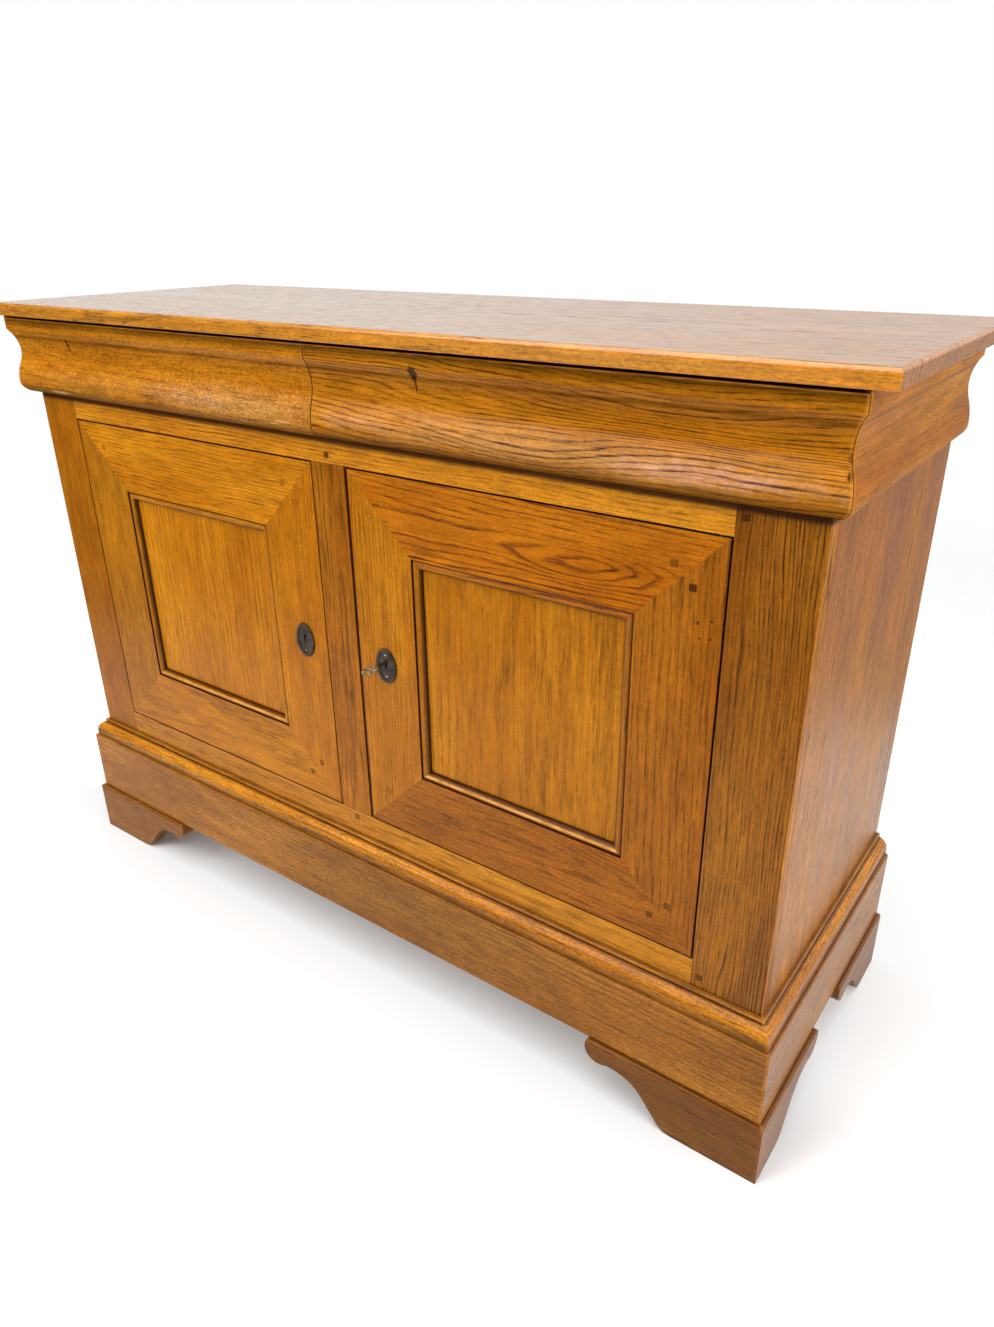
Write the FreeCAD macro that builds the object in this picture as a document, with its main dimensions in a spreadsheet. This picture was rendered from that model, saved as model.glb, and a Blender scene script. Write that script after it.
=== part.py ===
import FreeCAD, Part
import math
import os
import re
import Sketcher

# Oak buffet: two framed doors, two drawers hidden in the ogee cornice, moulded plinth, bracket feet.
# Millimetres, +Z up, the front faces -Y. The origin is on the floor under the middle of the whole piece.

SIZES = [
    # Carcass and top
    ("carcass_width", 1323, "width over the side panels"),
    ("carcass_depth", 465, "face of the doors to the rear edge of the sides"),
    ("side_thickness", 22, "side panel"),
    ("top_end_overhang", 47, "top board past each side panel"),
    ("top_front_overhang", 26, "top board in front of the doors"),
    ("top_thickness", 20, "top board"),
    ("top_upper_round", 5, "rounding of the top board's upper edges"),
    ("top_lower_round", 2.5, "rounding of the top board's lower edges"),
    # Heights, from the floor up
    ("foot_height", 95, "bracket feet"),
    ("fascia_height", 115, "plinth board"),
    ("moulding_height", 32, "plinth moulding"),
    ("sill_reveal", 40.5, "bottom rail seen under the doors"),
    ("door_opening_height", 542.5, "bottom rail to top rail"),
    ("rail_reveal", 36, "top rail seen above the doors"),
    ("drawer_front_height", 116, "ogee drawer front"),
    ("top_gap", 3, "drawer front to top board"),
    # Face frame
    ("frame_thickness", 22, "posts, rails and mullion"),
    ("left_post_width", 89, "left post"),
    ("right_post_width", 94, "right post"),
    ("mullion_width", 60, "mullion between the doors"),
    ("flange_width", 14, "mullion flange behind each door"),
    ("flange_thickness", 12, "mullion flange"),
    ("top_rail_height", 43, "top rail"),
    ("bottom_rail_height", 82.5, "bottom rail"),
    ("head_rail_height", 18, "rail under the top board, and the kickers"),
    ("tenon_length", 30, "rail tenon in a post"),
    ("tenon_thickness", 8, "tenons"),
    ("tenon_shoulder", 6, "shoulder beside a tenon"),
    ("mullion_tenon", 26, "mullion tenon in a rail"),
    ("peg_size", 8.5, "side of a square peg"),
    ("peg_proud", 0.4, "peg end in front of the wood"),
    ("post_peg_inset", 10.5, "peg axis from the post's edge"),
    ("sill_peg_drop", 24.5, "post peg under the sill"),
    ("mullion_peg_reach", 11, "mullion peg from the shoulder"),
    # Inside
    ("back_board_thickness", 10, "back boards"),
    ("back_inset", 6, "back boards from the rear edge"),
    ("back_board_gap", 1, "between back boards"),
    ("back_board_lap", 8, "rear lip of a back board, behind the next one"),
    ("back_board_lap_gap", 0.4, "lip to the board in front of it"),
    ("floor_thickness", 20, "cabinet floor"),
    ("shelf_thickness", 20, "shelf"),
    ("shelf_rise", 262.5, "underside of the shelf above the cabinet floor"),
    ("shelf_setback", 30, "shelf behind the face frame"),
    ("shelf_end_gap", 1, "shelf end to side panel"),
    ("cleat_size", 24, "shelf cleats, square"),
    ("back_rail_height", 140, "back rail under the top"),
    ("back_rail_thickness", 20, "back rail"),
    # Drawers
    ("drawer_box_height", 90, "drawer sides"),
    ("drawer_side_thickness", 12, "drawer sides"),
    ("drawer_back_thickness", 10, "drawer back"),
    ("drawer_back_drop", 8, "drawer back under the side's upper edge"),
    ("drawer_bottom_thickness", 6, "drawer bottom"),
    ("drawer_bottom_rise", 8, "drawer bottom above the runner"),
    ("drawer_groove", 5, "groove depth for the drawer bottom"),
    ("drawer_back_gap", 39, "drawer's rear end to the back rail"),
    ("drawer_side_gap", 2, "drawer side to guide"),
    ("drawer_face_gap", 0.5, "drawer front to face frame"),
    ("drawer_seam", 1.6, "between the two drawer fronts"),
    ("drawer_mitre_gap", 0.8, "drawer front to cornice return"),
    ("dovetail_depth", 9, "sliding dovetail in the drawer front"),
    ("dovetail_neck", 8, "narrow width of the dovetail"),
    ("dovetail_tip", 11, "wide width of the dovetail"),
    ("runner_thickness", 18, "drawer runners"),
    ("runner_bearing", 32, "runner under the drawer"),
    ("guide_height", 20, "drawer side guides"),
    ("divider_thickness", 22, "divider between the drawers"),
    # Cornice profile
    ("cornice_projection", 25, "upper fillet from the carcass"),
    ("return_setback", 34, "side cornice short of the rear edge"),
    ("fillet_height", 17, "upper fillet"),
    ("cove_projection", 13.8, "deepest line of the cove"),
    ("cove_height", 66, "deepest line above the lower edge"),
    ("bulge_projection", 22.3, "fullest line of the ogee"),
    ("lip_radius", 17, "rounding of the lower lip"),
    # Plinth profiles
    ("moulding_projection", 18.5, "plinth moulding from the carcass"),
    ("moulding_foot", 8, "upright band at the moulding's foot"),
    ("moulding_bead", 5.5, "small bead at the moulding's top, from the carcass"),
    ("moulding_bead_height", 6, "small bead"),
    ("fascia_projection", 23, "plinth board from the carcass"),
    ("fascia_round", 3, "rounding of the plinth board's upper edge"),
    # Bracket feet
    ("foot_projection", 29.5, "bracket from the carcass"),
    ("foot_round", 4, "rounding of the bracket's upper edge"),
    ("front_toe", 118, "flat base of a front bracket"),
    ("side_toe", 66, "flat base of a side bracket"),
    ("toe_radius", 30, "flare above the base"),
    ("ramp_angle", 52.6, "slope of the ramp in degrees"),
    ("ramp_length", 38, "straight ramp"),
    ("arch_radius", 60, "arch over the ramp"),
    ("cusp_flat", 8, "level stretch before the lobe"),
    ("lobe_inset", 12, "lobe centre past the cusp"),
    ("lobe_radius", 22, "rounded lobe"),
    ("foot_block_size", 60, "corner blocks, square"),
    # Doors
    ("door_thickness", 22, "door frame"),
    ("door_gap", 2.5, "door to frame at hinge, top and bottom"),
    ("left_lock_gap", 1.5, "left door to mullion"),
    ("right_lock_gap", 4, "right door to mullion"),
    ("face_width", 104, "flat face of a frame member"),
    ("bead_width", 13, "moulded inner edge"),
    ("bead_radius", 7.5, "bead of the inner edge"),
    ("panel_recess", 8.3, "panel behind the frame's face"),
    ("panel_thickness", 8, "door panel"),
    ("panel_groove", 10, "groove for the panel"),
    ("panel_play", 1, "panel edge to groove bottom"),
    ("door_peg_near", 37, "peg from the nearer door edge"),
    ("door_peg_far", 60, "peg from the farther door edge"),
    # Pivot hinges
    ("pivot_inset", 12, "pivot axis from the door's hinge edge"),
    ("pivot_depth", 6, "pivot axis behind the door's face"),
    ("pivot_plate_length", 60, "pivot plates"),
    ("pivot_plate_width", 10, "pivot plates"),
    ("pivot_plate_thickness", 2.5, "pivot plates"),
    ("pivot_pin_radius", 3, "pivot pins"),
    ("pivot_clearance", 0.05, "pin in plate, radial"),
    ("pivot_pin_reach", 8, "pin into the door"),
    ("pivot_relief", 0.5, "hole in the wood around and past the pin"),
    ("pivot_collar_radius", 5, "collar that carries the door"),
    # Locks and key
    ("left_lock_backset", 44, "left key axis from the door's edge"),
    ("right_lock_backset", 50, "right key axis from the door's edge"),
    ("lock_length", 80, "lock case"),
    ("lock_height", 80, "lock case"),
    ("lock_depth", 12, "lock case"),
    ("lock_wall", 2, "lock case wall"),
    ("bolt_length", 40, "lock bolt"),
    ("bolt_height", 14, "lock bolt"),
    ("bolt_thickness", 6, "lock bolt"),
    ("bolt_travel", 10, "throw of the bolt"),
    ("bolt_clearance", 0.4, "bolt in case and mortise"),
    ("bolt_rest", 0.5, "drawn bolt inside the door's edge"),
    ("keyhole_rise", 6, "key axis above the escutcheon's middle"),
    ("escutcheon_half_height", 25.5, "oval plate"),
    ("escutcheon_half_width", 18, "oval plate"),
    ("escutcheon_end_radius", 14, "oval plate"),
    ("escutcheon_thickness", 2.6, "rim of the plate"),
    ("escutcheon_dish", 1.1, "field below the rim"),
    ("escutcheon_rim", 4, "width of the rim"),
    ("key_shank_radius", 2.5, "key shank"),
    ("key_clearance", 0.5, "shank and bit in the keyhole"),
    ("key_reach", 47, "end of the bow in front of the doors"),
    ("key_collar_radius", 4, "collar behind the bow"),
    ("key_collar_length", 3, "collar behind the bow"),
    ("bow_half_length", 13, "key bow"),
    ("bow_half_width", 10, "key bow"),
    ("bow_end_radius", 7.5, "key bow"),
    ("bow_thickness", 2.8, "key bow"),
    ("bow_hole_radius", 3, "piercings of the bow"),
    ("bow_hole_offset", 4.4, "piercings from the bow's middle"),
    ("bit_reach", 9, "key bit from the axis"),
    ("bit_thickness", 2.5, "key bit"),
    ("bit_length", 5, "key bit along the shank"),
]

BACK_BOARD_COUNT = 6

# Planes, edges and radii worked out from the sizes. X is counted outwards from the middle.
PLACES = {
    "face_plane": "(max(key_reach; foot_projection) - carcass_depth) / 2",
    "back_plane": "face_plane + carcass_depth",
    "frame_back": "face_plane + frame_thickness",
    "half_width": "carcass_width / 2",
    "side_inner": "half_width - side_thickness",
    "boards_back": "back_plane - back_inset",
    "boards_front": "boards_back - back_board_thickness",
    "board_lip": "boards_back - back_board_thickness / 2 + back_board_lap_gap / 2",
    "board_rebate": "boards_back - back_board_thickness / 2 - back_board_lap_gap / 2",
    "back_rail_front": "boards_front - back_rail_thickness",
    "moulding_base": "foot_height + fascia_height",
    "moulding_top": "moulding_base + moulding_height",
    "sill": "moulding_top + sill_reveal",
    "lintel": "sill + door_opening_height",
    "door_middle": "(sill + lintel) / 2",
    "shelf_level": "sill + shelf_rise",
    "front_base": "lintel + rail_reveal",
    "front_top": "front_base + drawer_front_height",
    "top_base": "front_top + top_gap",
    "head_base": "top_base - head_rail_height",
    "runner_top": "lintel + top_rail_height",
    "runner_base": "runner_top - runner_thickness",
    "left_jamb": "half_width - left_post_width",
    "right_jamb": "half_width - right_post_width",
    "mullion_edge": "mullion_width / 2",
    "half_tenon": "tenon_thickness / 2",
    "frame_middle": "face_plane + frame_thickness / 2",
    # Ogee: bulge and cove arcs that meet without a corner
    "fillet_base": "front_top - fillet_height",
    "cove_reach": "cornice_projection - cove_projection",
    "cove_rise": "drawer_front_height - fillet_height - cove_height",
    "cove_radius": "(cove_reach^2 + cove_rise^2) / (2 * cove_reach)",
    "ogee_drop": "bulge_projection - cove_projection",
    "ogee_rise": "cove_height - lip_radius",
    "ogee_radii": "(ogee_drop^2 + ogee_rise^2) / (2 * ogee_drop)",
    "bulge_radius": "ogee_radii - cove_radius",
    "bulge_share": "bulge_radius / ogee_radii",
    "turn_projection": "bulge_projection - bulge_radius + bulge_share * (ogee_radii - ogee_drop)",
    "turn_level": "front_base + lip_radius + bulge_share * ogee_rise",
    # Plinth moulding
    "ovolo_base": "moulding_base + moulding_foot",
    "ovolo_top": "moulding_top - moulding_bead_height",
    "ovolo_width": "moulding_projection - moulding_bead",
    "moulding_bead_radius": "moulding_bead_height * 0.52",
    "moulding_bead_rise": "sqrt(moulding_bead_radius^2 - (moulding_bead_height / 2)^2)",
    "moulding_bead_base": "moulding_bead - moulding_bead_radius + moulding_bead_rise",
    "ovolo_radius": "(ovolo_width^2 + (ovolo_top - ovolo_base)^2) / (2 * ovolo_width)",
    # Bracket foot, measured from its outer corner
    "ramp_run": "cos(ramp_angle)",
    "ramp_rise": "sin(ramp_angle)",
    "ramp_start": "toe_radius * ramp_rise",
    "ramp_low": "toe_radius * (1 - ramp_run)",
    "ramp_end": "ramp_start + ramp_length * ramp_run",
    "ramp_high": "ramp_low + ramp_length * ramp_rise",
    "arch_end": "ramp_end + arch_radius * ramp_rise",
    "arch_level": "ramp_high + arch_radius * (1 - ramp_run)",
    "cusp": "arch_end + cusp_flat",
    "lobe_level": "arch_level + sqrt(lobe_radius^2 - lobe_inset^2)",
    "lobe_end": "cusp + lobe_inset + sqrt(lobe_radius^2 - (foot_height - lobe_level)^2)",
    # Doors
    "member_width": "face_width + bead_width",
    "groove_floor": "member_width - panel_groove",
    "panel_back": "panel_recess + panel_thickness",
    "bead_start": "panel_recess - sqrt(bead_radius^2 - (bead_width - bead_radius)^2)",
    "door_base": "sill + door_gap",
    "door_top": "lintel - door_gap",
    "door_back": "face_plane + door_thickness",
    "left_outer": "left_jamb - door_gap",
    "right_outer": "right_jamb - door_gap",
    "left_inner": "mullion_edge + left_lock_gap",
    "right_inner": "mullion_edge + right_lock_gap",
    "pivot_plane": "face_plane + pivot_depth",
    # Locks and key
    "left_key": "left_inner + left_lock_backset",
    "right_key": "right_inner + right_lock_backset",
    "key_level": "door_middle + keyhole_rise",
    "lock_front": "door_back - lock_depth",
    "lock_middle": "door_back - lock_depth / 2",
    "bit_sweep": "bit_reach + key_clearance",
    "bolt_base": "key_level + bit_sweep + lock_wall",
    "bolt_top": "bolt_base + bolt_height",
    "bow_middle": "face_plane - key_reach + bow_half_length",
    "bow_root": "face_plane - key_reach + 2 * bow_half_length - bow_thickness",
    # Drawers
    "drawer_back_plane": "back_rail_front - drawer_back_gap",
    "drawer_face_back": "face_plane - drawer_face_gap",
    "drawer_top": "runner_top + drawer_box_height",
    "bottom_base": "runner_top + drawer_bottom_rise",
    "bottom_top": "bottom_base + drawer_bottom_thickness",
    "left_box": "left_jamb - drawer_side_gap",
    "right_box": "right_jamb - drawer_side_gap",
    "inner_box": "divider_thickness / 2 + drawer_side_gap",
}

SIDES = {"left": -1, "right": 1}
ALIASES = {alias for alias, number, meaning in SIZES}
WORD = re.compile(r"[a-z][a-z_0-9]*")

doc = FreeCAD.newDocument("buffet")
sheet = doc.addObject("Spreadsheet::Sheet", "Sizes")
nodes = []


def fill_sheet():
    """Write each driving size into the sheet under its own alias."""
    for row, (alias, number, meaning) in enumerate(SIZES, start=1):
        sheet.set(f"A{row}", meaning)
        sheet.set(f"B{row}", str(number))
        sheet.setAlias(f"B{row}", alias)
    doc.recompute()


def formula(text):
    """Turn a formula in plain names into an expression on the sheet."""
    def swap(match):
        word = match.group(0)
        if word in PLACES:
            return "(" + formula(PLACES[word]) + ")"
        return "Sizes." + word if word in ALIASES else word
    return WORD.sub(swap, text)


def value(text):
    """Number that a formula has now."""
    return float(sheet.evalExpression(formula(text)))


def add(kind, name):
    thing = doc.addObject(kind, name)
    thing.Label = name
    return thing


def keep(*pieces):
    """Hand finished sub-parts in as nodes."""
    nodes.extend(pieces)


# Basic solids

def block(name, low, high, side=1):
    """Board between two opposite corners; side -1 mirrors it to the left."""
    box = add("Part::Box", name)
    if side < 0:
        low, high = (f"-({high[0]})", *low[1:]), (f"-({low[0]})", *high[1:])
    for size, axis, start, end in zip(("Length", "Width", "Height"), "xyz", low, high):
        box.setExpression(size, formula(f"({end}) - ({start})"))
        box.setExpression("Placement.Base." + axis, formula(start))
    return box


def rod(name, start, length, radius, along="z"):
    """Round bar from a start point along +Z or +Y."""
    bar = add("Part::Cylinder", name)
    if along == "y":
        bar.Placement = FreeCAD.Placement(FreeCAD.Vector(), FreeCAD.Rotation(FreeCAD.Vector(1, 0, 0), -90))
    bar.setExpression("Radius", formula(radius))
    bar.setExpression("Height", formula(length))
    for axis, place in zip("xyz", start):
        bar.setExpression("Placement.Base." + axis, formula(place))
    return bar


def arc_edge(start, end, radius, turn):
    """Arc of under a half circle from start to end; turn 1 is anticlockwise."""
    chord = end - start
    left = FreeCAD.Vector(-chord.y, chord.x, 0).normalize()
    centre = (start + end) / 2 + left * (turn * math.sqrt(radius**2 - (chord.Length / 2)**2))
    first, last = (start, end) if turn > 0 else (end, start)
    angles = [math.atan2(point.y - centre.y, point.x - centre.x) for point in (first, last)]
    if angles[1] < angles[0]:
        angles[1] += 2 * math.pi
    return Part.ArcOfCircle(Part.Circle(centre, FreeCAD.Vector(0, 0, 1), radius), *angles)


def draw(sketch, outline):
    """Closed outline of (u, v) corners; (u, v, radius, turn) starts an arc. Every size is bound."""
    points = [FreeCAD.Vector(value(corner[0]), value(corner[1]), 0) for corner in outline]
    ends = []
    for index, corner in enumerate(outline):
        start, end = points[index], points[(index + 1) % len(points)]
        is_arc = len(corner) > 2
        edge = arc_edge(start, end, value(corner[2]), corner[3]) if is_arc else Part.LineSegment(start, end)
        sketch.addGeometry(edge)
        ends.append((2, 1) if is_arc and corner[3] < 0 else (1, 2))
    for index, corner in enumerate(outline):
        following = (index + 1) % len(outline)
        joint = (index, ends[index][1], following, ends[following][0])
        sketch.addConstraint(Sketcher.Constraint("Coincident", *joint))
    for index, corner in enumerate(outline):
        ties = [
            ("DistanceX", (-1, 1, index, ends[index][0], points[index].x), corner[0]),
            ("DistanceY", (-1, 1, index, ends[index][0], points[index].y), corner[1]),
        ]
        if len(corner) > 2:
            ties.append(("Radius", (index, value(corner[2])), corner[2]))
        for kind, target, text in ties:
            tie = sketch.addConstraint(Sketcher.Constraint(kind, *target))
            sketch.renameConstraint(tie, f"{kind}_{index}")
            sketch.setExpression(f"Constraints.{kind}_{index}", formula(text))


def prism(name, plane, outline, start, end):
    """Outline on XY, XZ or YZ, padded along the third axis from start to end."""
    body = add("PartDesign::Body", name)
    sketch = body.newObject("Sketcher::SketchObject", name + "_outline")
    origin_plane = [item for item in body.Origin.OriginFeatures if item.Role == plane + "_Plane"]
    sketch.AttachmentSupport = [(origin_plane[0], "")]
    sketch.MapMode = "FlatFace"
    draw(sketch, outline)
    pad = body.newObject("PartDesign::Pad", name + "_pad")
    pad.Profile = sketch
    pad.Reversed = plane == "XZ"
    pad.setExpression("Length", formula(f"({end}) - ({start})"))
    axis = {"XY": "z", "XZ": "y", "YZ": "x"}[plane]
    body.setExpression("Placement.Base." + axis, formula(start))
    return body


# Joining solids

def fuse(name, parts):
    solid = add("Part::MultiFuse", name)
    solid.Shapes = parts
    solid.Refine = True
    return solid


def common(name, parts):
    solid = add("Part::MultiCommon", name)
    solid.Shapes = parts
    return solid


def cut(name, base, tools):
    solid = add("Part::Cut", name)
    solid.Base = base
    solid.Tool = tools[0] if len(tools) == 1 else fuse(name + "_cutters", tools)
    return solid


def group(name, parts):
    """Like pieces that share one node, each a solid of its own."""
    pieces = add("Part::Compound", name)
    pieces.Links = parts
    return pieces


# Outlines

def remap(outline, place, flip):
    """Move an outline's corners with place(u, v); flip where that mirrors it."""
    moved = []
    for u, v, *arc in outline:
        if arc and flip:
            arc = [arc[0], -arc[1]]
        moved.append((*place(u, v), *arc))
    return moved


def outward(outline, side):
    """Profile counted from the carcass side, on the left or right side."""
    return remap(outline, lambda u, v: (f"{side} * (half_width + {u})", v), side < 0)


def forward(outline):
    """Profile counted from the face plane, towards the front."""
    return remap(outline, lambda u, v: (f"face_plane - ({u})", v), True)


def mirrored(outline, side):
    """Outline in X counted outwards, on the left or right side."""
    return remap(outline, lambda u, v: (f"{side} * ({u})", v), side < 0)


def ogee(back, top):
    """Cornice profile from its back line up to its top: lip, bulge, cove and upper fillet."""
    return [
        (back, "front_base"),
        ("bulge_projection - lip_radius", "front_base", "lip_radius", 1),
        ("bulge_projection", "front_base + lip_radius", "bulge_radius", 1),
        ("turn_projection", "turn_level", "cove_radius", -1),
        ("cornice_projection", "fillet_base"),
        ("cornice_projection", top),
        (back, top),
    ]


def plinth_moulding_profile():
    return [
        ("0", "moulding_base"),
        ("moulding_projection", "moulding_base"),
        ("moulding_projection", "ovolo_base", "ovolo_radius", 1),
        ("moulding_bead", "ovolo_top"),
        ("moulding_bead_base", "ovolo_top", "moulding_bead_radius", 1),
        ("moulding_bead_base", "moulding_top"),
        ("0", "moulding_top"),
    ]


def eased_board_profile(projection, base, top, rounding):
    """Upright board with its upper front edge rounded."""
    return [
        ("0", base),
        (projection, base),
        (projection, f"{top} - {rounding}", rounding, 1),
        (f"{projection} - {rounding}", top),
        ("0", top),
    ]


def foot_outline(toe):
    """Bracket seen square on: base, flare, ramp, arch, cusp and lobe, from the outer corner."""
    return [
        ("0", "0"),
        (toe, "0", "toe_radius", 1),
        (f"{toe} + ramp_start", "ramp_low"),
        (f"{toe} + ramp_end", "ramp_high", "arch_radius", -1),
        (f"{toe} + arch_end", "arch_level"),
        (f"{toe} + cusp", "arch_level", "lobe_radius", 1),
        (f"{toe} + lobe_end", "foot_height"),
        ("0", "foot_height"),
    ]


def oval(half_long, half_short, end_radius):
    """Oval of four arcs, long in v."""
    centre = f"({half_long} - {end_radius})"
    side_radius = f"(({half_short}^2 + {centre}^2 - {end_radius}^2) / (2 * ({half_short} - {end_radius})))"
    share = f"({side_radius} / ({side_radius} - {end_radius}))"
    u = f"({side_radius} - {half_short}) * ({share} - 1)"
    v = f"{centre} * {share}"
    return [
        (u, v, end_radius, 1),
        (f"-{u}", v, side_radius, 1),
        (f"-{u}", f"-{v}", end_radius, 1),
        (u, f"-{v}", side_radius, 1),
    ]


def corner_plan(projection, side):
    """Strip along a side, mitred at the front corner and square at the back."""
    plan = [
        ("half_width", "face_plane"),
        (f"half_width + {projection}", f"face_plane - {projection}"),
        (f"half_width + {projection}", "back_plane"),
        ("half_width", "back_plane"),
    ]
    return mirrored(plan, side)


# Top board

def build_top():
    end = "half_width + top_end_overhang"
    edges = [f"-({end})", "face_plane - top_front_overhang", end, "back_plane"]
    corners = [(edges[0], edges[1]), (edges[2], edges[1]), (edges[2], edges[3]), (edges[0], edges[3])]
    board = prism("top_board", "XY", corners, "top_base", "top_base + top_thickness")
    doc.recompute()
    roundings = {"top_upper_round": "top_base + top_thickness", "top_lower_round": "top_base"}
    for rounding, level in roundings.items():
        names = []
        for number, edge in enumerate(board.Shape.Edges, start=1):
            middle = edge.BoundBox.Center
            is_level = abs(edge.BoundBox.ZMin - value(level)) < 0.01 and edge.BoundBox.ZLength < 0.01
            if is_level and edge.Length > value("top_thickness") and middle.y < value("back_plane") - 1:
                names.append(f"Edge{number}")
        square_edged = board.Tip
        easing = board.newObject("PartDesign::Fillet", rounding)
        easing.Base = (square_edged, names)
        easing.setExpression("Radius", formula(rounding))
        doc.recompute()
    keep(board)


# Face frame, sides and inside of the carcass

def tenoned_rail(name, base, top):
    """Rail between the posts with a tenon in each."""
    body = block(name + "_rail", ("-left_jamb", "face_plane", base), ("right_jamb", "frame_back", top))
    tenon = block(
        name + "_tenons",
        ("-left_jamb - tenon_length", "frame_middle - half_tenon", f"{base} + tenon_shoulder"),
        ("right_jamb + tenon_length", "frame_middle + half_tenon", f"{top} - tenon_shoulder"),
    )
    return fuse(name + "_blank", [body, tenon])


def mullion_blank():
    plan = [
        ("-mullion_edge", "face_plane"),
        ("mullion_edge", "face_plane"),
        ("mullion_edge", "frame_back"),
        ("mullion_edge + flange_width", "frame_back"),
        ("mullion_edge + flange_width", "frame_back + flange_thickness"),
        ("-mullion_edge - flange_width", "frame_back + flange_thickness"),
        ("-mullion_edge - flange_width", "frame_back"),
        ("-mullion_edge", "frame_back"),
    ]
    body = prism("mullion_body", "XY", plan, "sill", "lintel")
    tenon = block(
        "mullion_tenons",
        ("-mullion_edge + tenon_shoulder", "frame_middle - half_tenon", "sill - mullion_tenon"),
        ("mullion_edge - tenon_shoulder", "frame_middle + half_tenon", "lintel + mullion_tenon"),
    )
    return fuse("mullion_blank", [body, tenon])


def square_peg(name, x, z, depth, side=1):
    """Square peg through the wood, its front end a little proud."""
    half = "peg_size / 2"
    low = (f"{x} - {half}", "face_plane - peg_proud", f"{z} - {half}")
    high = (f"{x} + {half}", f"face_plane + {depth}", f"{z} + {half}")
    return block(name, low, high, side)


def frame_pegs():
    places = [
        ("mullion_upper", "0", "lintel + mullion_peg_reach", 1),
        ("mullion_lower", "0", "sill - mullion_peg_reach", 1),
    ]
    for label, side in SIDES.items():
        axis = f"{label}_jamb + post_peg_inset"
        places.append((label + "_upper", axis, "lintel + top_rail_height / 2", side))
        places.append((label + "_lower", axis, "sill - sill_peg_drop", side))
    pegs = []
    for label, x, z, side in places:
        pegs.append(square_peg(f"{label}_peg", x, z, "frame_thickness", side))
    return pegs


def build_frame(pivots):
    pegs = frame_pegs()
    mullion = mullion_blank()
    rails = {
        "top_rail": tenoned_rail("top_rail", "lintel", "runner_top"),
        "bottom_rail": tenoned_rail("bottom_rail", "sill - bottom_rail_height", "sill"),
        "head_rail": tenoned_rail("head_rail", "head_base", "top_base"),
    }
    for label, side in SIDES.items():
        low = (f"{label}_jamb", "face_plane", "foot_height")
        post = block(label + "_post_blank", low, ("half_width", "frame_back", "top_base"), side)
        keep(cut(label + "_front_post", post, [*rails.values(), *pegs]))
        low = ("side_inner", "frame_back", "foot_height")
        keep(block(label + "_side_panel", low, ("half_width", "back_plane", "top_base"), side))
    mortises = []
    for label, side in SIDES.items():
        low = ("mullion_edge - bolt_travel", "lock_middle - bolt_thickness / 2 - bolt_clearance")
        high = ("mullion_edge", "lock_middle + bolt_thickness / 2 + bolt_clearance")
        low = (*low, "bolt_base - bolt_clearance")
        high = (*high, "bolt_top + bolt_clearance")
        mortises.append(block(label + "_bolt_mortise", low, high, side))
    keep(cut("centre_mullion", mullion, [*pegs, *mortises]))
    keep(cut("top_rail", rails["top_rail"], [mullion, *pegs, *pivots]))
    keep(cut("bottom_rail", rails["bottom_rail"], [mullion, *pegs, *pivots]))
    rails["head_rail"].Label = "drawer_head_rail"
    keep(rails["head_rail"], group("frame_pegs", pegs), group("frame_pivots", pivots))


def build_inside():
    boards = []
    pitch = f"(2 * side_inner + back_board_gap) / {BACK_BOARD_COUNT}"
    for number in range(BACK_BOARD_COUNT):
        start = f"-side_inner + {number} * {pitch}"
        end = f"{start} + {pitch} - back_board_gap"
        rebated, lipped = number > 0, number < BACK_BOARD_COUNT - 1
        outline = [(start, "boards_front"), (end, "boards_front")]
        if lipped:
            lip = f"{end} + back_board_lap"
            outline += [(end, "board_lip"), (lip, "board_lip"), (lip, "boards_back")]
        else:
            outline += [(end, "boards_back")]
        if rebated:
            rebate = f"{start} + back_board_lap"
            outline += [(rebate, "boards_back"), (rebate, "board_rebate"), (start, "board_rebate")]
        else:
            outline += [(start, "boards_back")]
        name = f"back_board_{number + 1}"
        boards.append(prism(name, "XY", outline, "sill - floor_thickness", "top_base"))
    keep(group("back_boards", boards))
    low = ("-side_inner", "back_rail_front", "top_base - back_rail_height")
    keep(block("back_top_rail", low, ("side_inner", "boards_front", "top_base")))
    low = ("-side_inner", "frame_back", "sill - floor_thickness")
    keep(block("cabinet_floor", low, ("side_inner", "boards_front", "sill")))
    shelf_front = "frame_back + shelf_setback"
    low = ("-side_inner + shelf_end_gap", shelf_front, "shelf_level")
    high = ("side_inner - shelf_end_gap", "boards_front", "shelf_level + shelf_thickness")
    keep(block("shelf", low, high))
    cleats = []
    for label, side in SIDES.items():
        low = ("side_inner - cleat_size", shelf_front, "shelf_level - cleat_size")
        high = ("side_inner", "boards_front", "shelf_level")
        cleats.append(block(label + "_shelf_cleat", low, high, side))
    low = ("-side_inner + cleat_size", "boards_front - cleat_size", "shelf_level - cleat_size")
    high = ("side_inner - cleat_size", "boards_front", "shelf_level")
    cleats.append(block("rear_shelf_cleat", low, high))
    keep(group("shelf_cleats", cleats))


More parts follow.
